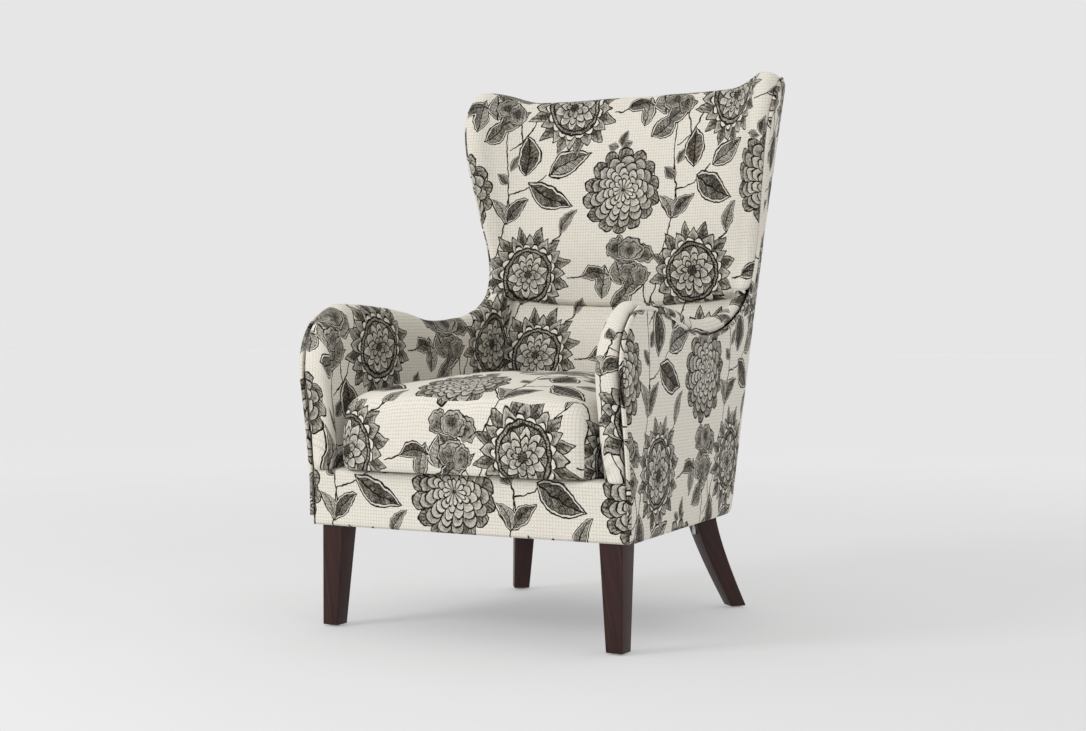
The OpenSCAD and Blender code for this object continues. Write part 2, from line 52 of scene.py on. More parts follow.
# ---------------------------------------------------------------- shape sizes
BASE_W, DEPTH, BASE_Z, BACK_Z = 638, 708, 180, 982
ARM_Z, SWOOP, SEAT_HALF = 562, 44, 268
LEG_TOP, LEG_FOOT, GLIDE_H = 43.5, 31, 3
REAR_SPLAY, REAR_RAKE = 45, 60
CUSHION_Z, CUSHION_H, CROWN = 281, 118, 40
FABRIC, WELT_R = 2, 3.5
FRONT_Y = -DEPTH / 2
BASE_FRONT_Y = FRONT_Y + 44
BASE_REAR_Y = FRONT_Y + 588
RISE = BACK_Z - BASE_Z
DECK_Z = CUSHION_Z - 1.5
REAR_LEAN, REAR_BOW = 0.141, 8
REAR_INSET, REAR_WIDEN, REAR_PINCH = 76, 0.0693, 6.5
WING_FLARE = 0.465
SIDE_MIN = 20  # least thickness between the inside and the outside of an arm
ARM_TAPER, ARM_RUN = 17, 540  # how far the arms close in, and over what depth
SIDES = (("left", -1), ("right", 1))


# ------------------------------------------------------------- curve helpers
def mix(a, b, t):
    return a + (b - a) * t


def clamp01(t):
    return max(0.0, min(1.0, t))


def smooth(t):
    s = clamp01(t)
    return s * s * (3 - 2 * s)


def vec(*v):
    return np.array(v, float)


def curve(points, t):
    """Catmull-Rom curve through the points, t from 0 to 1."""
    p = [np.array(q, float) for q in points]
    n = len(p) - 1
    s = min(max(t * n, 0.0), n - 1e-6)
    i = int(s)
    f = s - i
    a, b, c, d = (p[max(0, min(n, k))] for k in (i - 1, i, i + 1, i + 2))
    return 0.5 * (
        2 * b + (c - a) * f + (2 * a - 5 * b + 4 * c - d) * f * f
        + (3 * b - a - 3 * c + d) * f ** 3
    )


def steps(n, start=0.0, end=1.0):
    return [mix(start, end, i / n) for i in range(n + 1)]


def edged(n, near_start=(), near_end=()):
    """n even steps from 0 to 1, with extra ones close to the ends for rolled edges."""
    return sorted(set([0.0, 1.0, *near_start, *(1 - e for e in near_end), *steps(n)[1:-1]]))


def both_ways(shares):
    """Shares from 0 to 1 spread from -1 to 1, across the chair's middle."""
    return [2 * s - 1 for s in shares]


# ------------------------------------------------- the chair's outer surfaces
def rise_sine(z):
    return math.sin(math.pi * (z - BASE_Z) / RISE)


def rear_y(z):
    return BASE_REAR_Y + REAR_LEAN * (z - BASE_Z) + REAR_BOW * rise_sine(z)


def rear_x(z):
    return BASE_W / 2 - REAR_INSET + REAR_WIDEN * (z - BASE_Z) - REAR_PINCH * rise_sine(z)


def side_x(y, z):
    t = clamp01((y - BASE_FRONT_Y) / (rear_y(z) - BASE_FRONT_Y))
    h = max(0.0, z - BASE_Z)
    return mix(BASE_W / 2, rear_x(z), t) + WING_FLARE * h * t ** 3 * (1 - t)


FRONT_OUTLINE = [
    (33, BASE_Z), (32, BASE_Z + 70), (25, BASE_Z + 140), (14, BASE_Z + 210),
    (4, BASE_Z + 275), (12, ARM_Z - 57), (39, ARM_Z - 19), (71, ARM_Z - 1)]
TOP_OUTLINE = [
    (71, ARM_Z - 1), (134, ARM_Z - 3), (200, ARM_Z - 16), (270, ARM_Z - 33),
    (344, ARM_Z - SWOOP - 5), (430, ARM_Z - SWOOP + 4), (500, ARM_Z - 15),
    (560, ARM_Z + 22), (584, ARM_Z + 64), (590, ARM_Z + 120), (579, ARM_Z + 185),
    (568, ARM_Z + 248), (559, ARM_Z + 303), (561, ARM_Z + 358), (575, ARM_Z + 400),
    (602, BACK_Z + 10)]
WING_START = 0.47


def front_edge(v):
    return vec(FRONT_Y, 0) + curve(FRONT_OUTLINE, v)


def top_edge(u):
    return vec(FRONT_Y, 0) + curve(TOP_OUTLINE, u)


def top_inset(u, d):
    along = top_edge(min(1, u + 0.01)) - top_edge(max(0, u - 0.01))
    along = along / np.linalg.norm(along)
    return top_edge(u) + d * vec(along[1], -along[0])


def bottom_edge(u):
    if u < WING_START:
        return vec(mix(front_edge(0)[0], BASE_REAR_Y, u / WING_START), BASE_Z)
    z = mix(BASE_Z, BACK_Z - 8, (u - WING_START) / (1 - WING_START))
    return vec(rear_y(z), z)


def crest_edge(v):
    return mix(bottom_edge(1), top_edge(1), v) + vec(0, 8 * math.sin(math.pi * v))


def side_yz(u, v, inset):
    return (
        mix(bottom_edge(u), top_inset(u, inset), v)
        + (1 - u) ** 12 * (front_edge(v) - mix(bottom_edge(0), top_edge(0), v))
        + u ** 12 * (crest_edge(v) - mix(bottom_edge(1), top_edge(1), v))
    )


# ------------------------------------------------------------ inner surfaces
def arm_x(y):
    return SEAT_HALF - ARM_TAPER * clamp01((y - BASE_FRONT_Y) / ARM_RUN)


def inner_x(y, z):
    return min(arm_x(y), side_x(y, z) - SIDE_MIN)


def arm_root(u):
    return vec(mix(FRONT_Y + 62, BASE_REAR_Y - 6, smooth(u * 0.5 + u * u * 0.5)), DECK_Z)


ARM_FRONT = 0.34  # the share of an arm's skin that lies round its front
ARM_LOW, ARM_END = 0.77, 0.485  # where it starts below the deck, and where it ends under the wing


def arm_outline(u):
    low = (DECK_Z - BASE_Z) / (ARM_Z - BASE_Z) * ARM_LOW
    if u < ARM_FRONT:
        return front_edge(mix(low, 1, u / ARM_FRONT))
    return top_edge((u - ARM_FRONT) / (1 - ARM_FRONT) * ARM_END)


ARM_TURN = 0.6  # w at which the cloth has turned down from the arm's top


def arm_section(u, w):
    """Point on an arm's skin: u from the band round to the wing, w from the welt inwards."""
    o, r = arm_outline(u), arm_root(u)
    deep = np.linalg.norm(r - o)
    d = (r - o) / deep
    xo, xi = side_x(o[0], o[1]) - WELT_R - 1, arm_x(o[0])
    c = 4 + 22 * math.sin(math.pi * clamp01((u - 0.38) / 0.62)) ** 2
    turn = min(46, deep * 0.8)
    if w < ARM_TURN:
        p = curve([(xo, 0), (mix(xo, xi, 0.22), -c * 0.8), (mix(xo, xi, 0.55), -c),
                   (mix(xo, xi, 0.86), 12 - c * 0.7), (xi, turn)], w / ARM_TURN)
        q = o + d * p[1]
        return vec(p[0], q[0], q[1])
    q = o + d * mix(turn, deep, (w - ARM_TURN) / (1 - ARM_TURN))
    blend = smooth((w - ARM_TURN) / 0.12)
    return vec(mix(xi, inner_x(q[0], q[1]), blend), q[0], q[1])


def back_y(z):
    return FRONT_Y + float(curve([606, 604, 614, 628, 650], (z - 570) / 400))


CREASE_Z = ARM_Z + 8  # the crease's lowest point; it climbs to the wings


def crease_z(x):
    return CREASE_Z + 25 * (abs(x) / 278) ** 2


WING_DOME = 15


def back_front(v, t):
    """From the middle of the back out over the wing's padded front, which stands proud."""
    w = top_edge(mix(0.49, 1, v))
    xw = side_x(w[0], w[1]) - WELT_R
    yc = back_y(mix(CREASE_Z, BACK_Z, v))
    p = curve([(0, yc), (0.27 * xw, yc - 2), (0.50 * xw, yc - 11),
               (0.69 * xw, mix(yc - 8, w[0], 0.36)), (0.825 * xw, mix(yc - 8, w[0], 0.78)),
               (0.90 * xw, w[0] - 11), (0.955 * xw, w[0] - 17),
               (0.992 * xw, w[0] - 9), (xw, w[0] + 4)], t)
    zm = mix(crease_z(p[0]), BACK_Z, v)
    r = min(1.0, p[0] / xw)
    dome = smooth((r - 0.68) / 0.20) * math.sqrt(1 - clamp01((r - 0.90) / 0.10) ** 2)
    lift = WING_DOME * dome * smooth((v - 0.5) / 0.5)
    return vec(p[0], p[1], mix(zm, w[1], smooth((r - 0.60) / 0.32)) + lift)


def back_point(v, t):
    """Inside back and wing: t from the middle to the wing's edge, v over the top beyond 1."""
    flip = vec(-1, 1, 1) if t < 0 else vec(1, 1, 1)
    t = abs(t)
    if v <= 1:
        return back_front(v, t) * flip
    p, s, z = back_front(1, t), v - 1, BACK_Z - 8
    narrow = (rear_x(z) - 4) / back_front(1, 1)[0]
    end = vec(p[0] * narrow, rear_y(z) - 2, z)
    return (mix(p, end, s) + vec(0, 0, 9 * math.sin(math.pi * s))) * flip


def lumbar_point(s, r):
    y = FRONT_Y + float(curve([564, 568, 571, 575, 588, 611], r))
    half = inner_x(min(y, BASE_REAR_Y - 8), mix(DECK_Z, crease_z(240), r)) + 4
    x = s * half
    return vec(x, y - 5 * s * s, mix(DECK_Z, crease_z(x) + 2, r))


def band_point(s, r):
    z = mix(BASE_Z, DECK_Z, r)
    y = front_edge((z - BASE_Z) / (ARM_Z - BASE_Z))[0] - 4 * (1 - s * s)
    return vec(s * (BASE_W / 2 - WELT_R - 1.5), y, z)


def side_point(u, v):
    y, z = side_yz(mix(0.003, 0.999, u), v, 1)
    return vec(side_x(y, z), y, z)


def rear_point(r, s):
    z = mix(BASE_Z, BACK_Z - 9, r)
    return vec(s * (rear_x(z) - FABRIC - 0.8), rear_y(z) + 6 * (1 - s * s), z)


# ------------------------------------------------------------- grids of cloth
def grid(rows, columns, point):
    return np.array([[point(a, b) for b in columns] for a in rows])


def normals(g):
    n = np.cross(np.gradient(g, axis=0), np.gradient(g, axis=1))
    return n / np.maximum(np.linalg.norm(n, axis=2, keepdims=True), 1e-9)


def run(g, axis):
    """Length along the cloth from the first row, or column, to each point."""
    length = np.linalg.norm(np.diff(g, axis=axis), axis=2)
    pad = [(1, 0), (0, 0)] if axis == 0 else [(0, 0), (1, 0)]
    return np.pad(np.cumsum(length, axis=axis), pad)


def from_edge(g, edge):
    """Length along the cloth from an edge: 0 first row, 1 last row, 2 first column, 3 last column."""
    axis, last = edge // 2, edge % 2
    length = run(g, axis)
    return np.max(length, axis=axis, keepdims=True) - length if last else length


def rolled(g, radii):
    """The cloth turned in at its four edges, which are numbered as in from_edge."""
    depth = np.zeros(g.shape[:2])
    for edge, r in enumerate(radii):
        if r > 0:
            s = np.clip(1 - from_edge(g, edge) / r, 0, 1)
            depth = np.hypot(depth, r * (1 - np.sqrt(np.maximum(0, 1 - s * s))))
    return g - normals(g) * depth[:, :, None]


def tucked(g, flat, uv, depths):
    """Adds rows at the edges of g that carry the cloth straight in, square to flat, by depths."""
    def extended(grown, row):
        row = np.expand_dims(row, axis)
        return np.concatenate((grown, row) if last else (row, grown), axis)

    n = normals(flat)
    for k, d in enumerate(depths):
        if d <= 0:
            continue
        axis, last = k // 2, k % 2
        edge, inner = (-1, -2) if last else (0, 1)
        edge_g, edge_n, edge_uv = (np.take(a, edge, axis) for a in (g, n, uv))
        out = edge_uv - np.take(uv, inner, axis)
        out = out / np.maximum(np.linalg.norm(out, axis=1, keepdims=True), 1e-6)
        for share in (0.5, 1.0):
            g = extended(g, edge_g - edge_n * d * share)
            n = extended(n, edge_n)
            uv = extended(uv, edge_uv + out * d * share)
    return g, uv


def soft_noise(p, size, seed):
    return noise.noise(Vector(p) / size + Vector((seed * 7.3, seed * 3.1, seed * 5.7)))


def uneven(g, amount, size, seed):
    """Soft unevenness of stuffing under the cloth, and fainter small ripples."""
    lift = np.array([[amount * soft_noise(p, size, seed)
                      + amount * 0.3 * soft_noise(p, size * 0.35, seed + 1) for p in row]
                     for row in g])
    return g + normals(g) * lift[:, :, None]


def puckered(g, edge, reach, amount, pitch, seed):
    """Short gathers square to one edge of the cloth, fading out over reach."""
    d = from_edge(g, edge)
    along = run(g, 1 - edge // 2)
    wave = np.array([[noise.noise(Vector((a / pitch, seed, b / reach * 0.5)))
                      for a, b in zip(ra, rb)] for ra, rb in zip(along, d)])
    fade = np.clip(1 - d / reach, 0, 1) ** 1.5
    return g + normals(g) * (amount * wave * fade)[:, :, None]


def make_object(name, points, faces, uv, material, uv_by_corner=False):
    """A smooth piece; uv holds one place in the print for each point, or each face corner."""
    mesh = bpy.data.meshes.new(name)
    mesh.from_pydata([tuple(p * MM) for p in points], [], faces)
    uv = np.array(uv) * MM
    if not uv_by_corner:
        loop_vertex = np.zeros(len(mesh.loops), int)
        mesh.loops.foreach_get("vertex_index", loop_vertex)
        uv = uv[loop_vertex]
    layer = mesh.uv_layers.new(name="print")
    layer.data.foreach_set("uv", uv.astype(np.float32).ravel())
    mesh.materials.append(material)
    mesh.polygons.foreach_set("use_smooth", [True] * len(mesh.polygons))
    piece = bpy.data.objects.new(name, mesh)
    bpy.context.scene.collection.objects.link(piece)
    return piece


def subdivide(piece, level=1):
    m = piece.modifiers.new("smooth", "SUBSURF")
    m.levels = level
    m.render_levels = level


def upholster(name, g, uv, thick, material, mirror=False):
    """A closed piece of cloth and padding whose outside is the grid g."""
    inner = g - thick * normals(g)
    points = np.concatenate([g.reshape(-1, 3), inner.reshape(-1, 3)])
    if mirror:
        points = points * vec(-1, 1, 1)
    ni, nj = g.shape[:2]
    n = ni * nj
    faces = []
    for i in range(ni - 1):
        for j in range(nj - 1):
            p = i * nj + j
            faces.append((p, p + nj, p + nj + 1, p + 1))
            faces.append((n + p, n + p + 1, n + p + nj + 1, n + p + nj))
    for j in range(nj - 1):
        q = (ni - 1) * nj + j
        faces.append((j, j + 1, n + j + 1, n + j))
        faces.append((q + 1, q, n + q, n + q + 1))
    for i in range(ni - 1):
        p, q = i * nj, i * nj + nj - 1
        faces.append((p + nj, p, n + p, n + p + nj))
        faces.append((q, q + nj, n + q + nj, n + q))
    if mirror:
        faces = [f[::-1] for f in faces]
    flat = uv.reshape(-1, 2)
    piece = make_object(name, points, faces, np.concatenate([flat, flat]), material)
    subdivide(piece)
    return piece


def lofted(rings):
    """Points and faces of a closed body that runs through rings of points."""
    n = len(rings[0])
    last = (len(rings) - 1) * n
    faces = [tuple(range(n))[::-1], tuple(range(last, last + n))]
    for start in range(0, last, n):
        for k in range(n):
            p, q = start + k, start + (k + 1) % n
            faces.append((p, q, q + n, p + n))
    return [p for ring in rings for p in ring], faces


def tube(name, path, radius, uv_start, material, sides=12):
    """Closed cord along the path, its print running along it."""
    n = len(path)
    rings, uv, length = [], [], 0.0
    angles = [2 * math.pi * k / sides for k in range(sides)]
    for i, p in enumerate(path):
        d = path[min(i + 1, n - 1)] - path[max(i - 1, 0)]
        side = np.cross(d, vec(1, 0.02, 0.03))
        side /= np.linalg.norm(side)
        up = np.cross(side, d)
        up /= np.linalg.norm(up)
        if i:
            length += np.linalg.norm(p - path[i - 1])
        rings.append([p + radius * (math.cos(a) * side + math.sin(a) * up) for a in angles])
        uv += [vec(uv_start[0] + a * radius, uv_start[1] + length) for a in angles]
    return make_object(name, *lofted(rings), uv, material)


# ------------------------------------------------------------- node helpers
class Num:
    """A shader value: arithmetic on it adds Math nodes to its material."""

    def __init__(self, graph, socket):
        self.graph = graph
        self.socket = socket

    def _op(self, op, *others):
        return self.graph.math(op, self, *others)

    def __add__(self, o):
        return self._op("ADD", o)

    def __sub__(self, o):
        return self._op("SUBTRACT", o)

    def __rsub__(self, o):
        return self.graph.math("SUBTRACT", o, self)

    def __mul__(self, o):
        return self._op("MULTIPLY", o)

    __radd__ = __add__
    __rmul__ = __mul__

    def abs(self):
        return self._op("ABSOLUTE")

    def fract(self):
        return self._op("FRACT")

    def sine(self):
        return self._op("SINE")

    def rounded(self):
        return self._op("ROUND")

    def power(self, exponent):
        return self._op("POWER", exponent)

    def over(self, limit):
        return self._op("GREATER_THAN", limit)

    def under(self, limit):
        return self._op("LESS_THAN", limit)

    def ramp(self, start, width):
        """0 below start, 1 from start + width on."""
        return self.graph.math("MULTIPLY_ADD", self, 1 / width, -start / width, clamp=True)


class Graph:
    """One material's nodes."""

    def __init__(self, name):
        self.material = bpy.data.materials.new(name)
        self.material.use_nodes = True
        self.tree = self.material.node_tree
        self.shader = self.tree.nodes["Principled BSDF"]

    def put(self, socket, value):
        if isinstance(value, Num):
            self.tree.links.new(value.socket, socket)
        else:
            socket.default_value = value

    def node(self, kind, settings, inputs, output=0):
        n = self.tree.nodes.new(kind)
        for key, value in settings.items():
            setattr(n, key, value)
        for key, value in inputs.items():
            self.put(n.inputs[key], value)
        return Num(self, n.outputs[output])

    def math(self, op, *values, clamp=False):
        return self.node("ShaderNodeMath", {"operation": op, "use_clamp": clamp},
                         dict(enumerate(values)))

    def vmath(self, op, *values, output=0):
        return self.node("ShaderNodeVectorMath", {"operation": op}, dict(enumerate(values)),
                         output)

    def position(self):
        return self.node("ShaderNodeNewGeometry", {}, {})

    def print_uv(self):
        """The place in the print, a vector in metres."""
        return self.node("ShaderNodeUVMap", {"uv_map": "print"}, {})

    def parts(self, vector):
        n = self.tree.nodes.new("ShaderNodeSeparateXYZ")
        self.put(n.inputs[0], vector)
        return Num(self, n.outputs[0]), Num(self, n.outputs[1])

    def join(self, x, y, z=0.0):
        return self.node("ShaderNodeCombineXYZ", {}, {0: x, 1: y, 2: z})

    def mixed(self, factor, a, b):
        """Vector between a and b."""
        return self.node("ShaderNodeMix", {"data_type": "VECTOR"},
                         {"Factor": factor, 4: a, 5: b}, 1)

    def colour(self, factor, a, b, blend="MIX"):
        return self.node("ShaderNodeMix", {"data_type": "RGBA", "blend_type": blend},
                         {"Factor": factor, 6: a, 7: b}, 2)

    def noise(self, vector, scale, detail=2.0, output=0, rough=0.5):
        return self.node("ShaderNodeTexNoise", {"noise_dimensions": "3D"},
                         {"Vector": vector, "Scale": scale, "Detail": detail,
                          "Roughness": rough}, output)

    def drift(self, vector, scale, detail, reach):
        """A vector of soft noise about zero; each part of it spans reach at most."""
        centred = self.vmath("SUBTRACT", self.noise(vector, scale, detail, 1), (0.5,) * 3)
        return self.vmath("MULTIPLY", centred, (reach,) * 3)

    def local(self, vector, centre, size, turn=0.0):
        """The vector seen from a frame at centre, turned by turn, in units of size."""
        return self.node("ShaderNodeMapping", {"vector_type": "TEXTURE"},
                         {"Vector": vector, "Location": (centre[0], centre[1], 0),
                          "Rotation": (0, 0, turn), "Scale": (size[0], size[1], 1)})

    def turned(self, place, centre, size, turn):
        """The same for a place held as two numbers."""
        along, across = math.cos(turn), math.sin(turn)
        ahead = centre[0] * along + centre[1] * across
        aside = centre[1] * along - centre[0] * across
        x = self.math("MULTIPLY_ADD", place[1], across / size[0], -ahead / size[0])
        y = self.math("MULTIPLY_ADD", place[1], along / size[1], -aside / size[1])
        return (self.math("MULTIPLY_ADD", place[0], along / size[0], x),
                self.math("MULTIPLY_ADD", place[0], -across / size[1], y))

    def bump(self, height, strength, distance, normal=None):
        inputs = {"Height": height, "Strength": strength, "Distance": distance}
        if normal is not None:
            inputs["Normal"] = normal
        return self.node("ShaderNodeBump", {}, inputs)

    def finish(self, **inputs):
        for key, value in inputs.items():
            self.put(self.shader.inputs[key.replace("_", " ")], value)
        return self.material


def rgb(r, g, b):
    return (r, g, b, 1.0)


# ------------------------------------------------------------ the floral print
# One repeat of the print is PRINT_W across and PRINT_H up; each row of repeats
# stands PRINT_SHIFT to the side of the one below. Motif places are in metres
# in that repeat, x across and y up.
PRINT_W, PRINT_H, PRINT_SHIFT = 0.366, 0.332, 0.082
LEAVES = [  # base, tip, width, bend, darkness
    ((-0.215, 0.834), (-0.221, 0.918), 0.043, 0.05, 0.75),
    ((-0.171, 0.834), (-0.076, 0.882), 0.042, -0.10, 0.35),
    ((-0.207, 0.822), (-0.112, 0.774), 0.044, 0.12, 0.70),
    ((-0.261, 0.735), (-0.289, 0.788), 0.022, 0.25, 0.20),
    ((-0.259, 0.735), (-0.206, 0.788), 0.026, -0.20, 0.60),
    ((-0.290, 0.925), (-0.218, 0.967), 0.034, -0.08, 0.45),
    ((-0.290, 0.945), (-0.296, 0.999), 0.040, 0.0, 0.10),
    ((-0.253, 0.846), (-0.234, 0.880), 0.017, 0.0, 0.50),
    ((-0.252, 0.818), (-0.281, 0.842), 0.018, 0.0, 0.50),
    ((-0.136, 0.712), (-0.101, 0.770), 0.022, -0.25, 0.35),
    ((-0.094, 0.628), (-0.020, 0.632), 0.026, -0.25, 0.65),
    ((-0.032, 0.572), (0.018, 0.618), 0.034, 0.15, 0.45),
    ((-0.050, 0.590), (-0.036, 0.656), 0.028, 0.0, 0.25),
    ((-0.014, 0.886), (-0.003, 0.920), 0.018, 0.0, 0.55),
    ((-0.018, 0.884), (-0.046, 0.890), 0.015, 0.0, 0.35),
    ((-0.012, 0.880), (0.010, 0.896), 0.014, 0.0, 0.35),
    ((-0.243, 0.980), (-0.300, 1.006), 0.024, -0.20, 0.55),
]
STEMS = [  # start, end, bow
    ((-0.261, 0.735), (-0.253, 0.812), 0.004),
    ((-0.253, 0.812), (-0.262, 0.924), -0.004),
    ((-0.259, 0.742), (-0.250, 0.797), -0.003),
    ((-0.250, 0.797), (-0.175, 0.836), 0.008),
    ((-0.256, 0.885), (-0.205, 0.952), 0.010),
    ((-0.261, 0.735), (-0.300, 0.840), -0.012),
    ((-0.262, 0.924), (-0.300, 0.960), 0.002),
    ((-0.262, 0.736), (-0.285, 0.668), -0.004),
    ((-0.152, 0.700), (-0.132, 0.716), 0.002),
    ((-0.118, 0.624), (-0.092, 0.629), 0.001),
    ((0.055, 0.560), (0.040, 0.630), 0.004),
]
POPPY = [  # centre, half sizes, turn
    ((-0.013, 0.690), (0.024, 0.019), 0.9),
    ((0.047, 0.672), (0.023, 0.019), -0.5),
    ((0.012, 0.640), (0.027, 0.018), 0.5),
    ((0.020, 0.684), (0.030, 0.023), -0.3),
    ((0.038, 0.630), (0.019, 0.022), 0.2),
]
# Rings of petals from the outside in:
# radius, depth of the notches, petals, turn of the ring, roundness, darkness
FLOWER_A = [
    (0.099, 0.038, 12, 0.10, 1.0, 0.34),
    (0.084, 0.026, 12, 0.60, 1.2, 0.26),
    (0.066, 0.011, 17, 0.00, 2.4, 0.00),
    (0.057, 0.000, 1, 0.00, 1.0, 0.44),
    (0.050, 0.000, 1, 0.00, 1.0, 0.42),
    (0.048, 0.015, 10, 0.20, 1.6, 0.12),
    (0.036, 0.013, 8, 0.70, 1.5, 0.20),
    (0.023, 0.009, 7, 0.10, 1.5, 0.30),
    (0.011, 0.003, 9, 0.00, 1.2, 0.80),
]
FLOWER_B = [
    (0.086, 0.013, 14, 0.10, 2.6, 0.38),
    (0.073, 0.014, 13, 0.55, 2.4, 0.28),
    (0.060, 0.013, 12, 0.20, 2.4, 0.18),
    (0.048, 0.012, 11, 0.75, 2.4, 0.10),
    (0.036, 0.010, 10, 0.15, 2.4, 0.14),
    (0.026, 0.007, 13, 0.30, 2.0, 0.04),
    (0.004, 0.000, 1, 0.00, 1.0, 0.90),
]
FLOWER_A_AT = (-0.126, 0.969)
FLOWER_B_AT = (-0.006, 0.799)
POPPY_AT = (0.02, 0.66)
CELL_FOOT, CELL_SHIFT = 0.66, -0.02  # height of the lowest cells, and each row's step sideways
LINE = 0.0034  # width of a drawn petal edge
LEAF_FULL = 0.74  # what the widths in LEAVES are scaled by, before each leaf's taper


def print_place(g, u, v, centre):
    """The place in the print, in the repeat nearest to centre."""
    row = (v * (1 / PRINT_H) + (-centre[1] / PRINT_H)).rounded()
    y = g.math("MULTIPLY_ADD", row, -PRINT_H, v)
    x = g.math("MULTIPLY_ADD", row, -PRINT_SHIFT, u)
    return g.math("WRAP", x, centre[0] + PRINT_W / 2, centre[0] - PRINT_W / 2), y


def add_leaf(g, place, best, base, tip, width, bend, dark):
    """Keeps, of all the leaves so far, the one that each point is deepest in."""
    along = (tip[0] - base[0], tip[1] - base[1])
    centre = ((tip[0] + base[0]) / 2, (tip[1] + base[1]) / 2)
    size = (math.hypot(*along) / 2, width * LEAF_FULL)
    x, y = g.turned(place, centre, size, math.atan2(along[1], along[0]))
    lens = 1 - x * x
    y = g.math("MULTIPLY_ADD", lens, bend * 2, y)
    fuller = g.math("MULTIPLY_ADD", x, -0.22, 0.78, clamp=True)
    depth = lens * fuller - y.abs()
    look = g.join(x, y, dark)
    if best is None:
        return depth, look
    nearer = depth.over(best[0])
    return g.math("MAXIMUM", depth, best[0]), g.mixed(nearer, best[1], look)


def add_stem(g, place, best, start, end, bow):
    along = (end[0] - start[0], end[1] - start[1])
    centre = ((end[0] + start[0]) / 2, (end[1] + start[1]) / 2)
    half = math.hypot(*along) / 2
    x, y = g.turned(place, centre, (half, 1), math.atan2(along[1], along[0]))
    off = g.math("MULTIPLY_ADD", 1 - x * x, bow, y).abs()
    off = off + g.math("MAXIMUM", (x.abs() - 1.0) * half, 0.0)
    return off if best is None else g.math("MINIMUM", best, off)


def add_rings(g, place, centre, rings, look):
    """Lays a flower of nested petal rings over look, a vector of (ink, wash)."""
    x = place[0] - centre[0]
    y = place[1] - centre[1]
    rho = g.math("SQRT", g.math("MULTIPLY_ADD", x, x, y * y))
    turn = g.math("ARCTAN2", y, x) * (0.5 / math.pi)
    hatch = (turn * 64 + rho * 60).fract().under(0.38)
    for radius, notch, count, phase, roundness, dark in rings:
        f = radius - rho
        line = LINE if radius > 0.02 else LINE * 0.7
        if notch:
            petal = (turn * count + phase).fract() - 0.5
            petal = petal.abs() * 2
            f = f - petal.power(roundness) * notch
            ink = g.math("MAXIMUM", f.under(line),
                         petal.over(1 - 0.62 * line * count / (math.pi * radius)))
        else:
            ink = f.under(line)
        base = f.ramp(0.006, 0.024)
        wash = g.math("MULTIPLY_ADD", base, 0.55, dark)
        if dark > 0.3:
            wash = g.math("MULTIPLY_ADD", hatch, 0.22, wash)
        look = g.mixed(f.ramp(0, 0.0004), look, g.join(ink, wash, 1.0))
    return look


def print_cells():
    """Places spread over one repeat; a motif is drawn from the nearest."""
    return [(PRINT_W / 2 * i + CELL_SHIFT * k, CELL_FOOT + PRINT_H / 3 * k)
            for k in range(3) for i in range(2)]


def nearest_cell(cells, at):
    """The cell next to a motif at at, and how far the motif moves to stand there."""
    def apart(cell):
        y = (at[1] - cell[1] + PRINT_H / 2) % PRINT_H - PRINT_H / 2
        row = round((at[1] - cell[1] - y) / PRINT_H)
        x = (at[0] - cell[0] - row * PRINT_SHIFT + PRINT_W / 2) % PRINT_W - PRINT_W / 2
        return max(abs(x) / PRINT_W, abs(y) / PRINT_H), x, y
    chosen = min(cells, key=lambda cell: apart(cell)[0])
    x, y = apart(chosen)[1:]
    return chosen, (chosen[0] + x - at[0], chosen[1] + y - at[1])


def by_cell(cells, motifs):
    """For each cell, the line motifs (start, end, ...) that are drawn from it."""
    grouped = {cell: [] for cell in cells}
    for start, end, *rest in motifs:
        middle = ((start[0] + end[0]) / 2, (start[1] + end[1]) / 2)
        cell, shift = nearest_cell(cells, middle)
        start = (start[0] + shift[0], start[1] + shift[1])
        end = (end[0] + shift[0], end[1] + shift[1])
        grouped[cell].append((start, end, *rest))
    return grouped


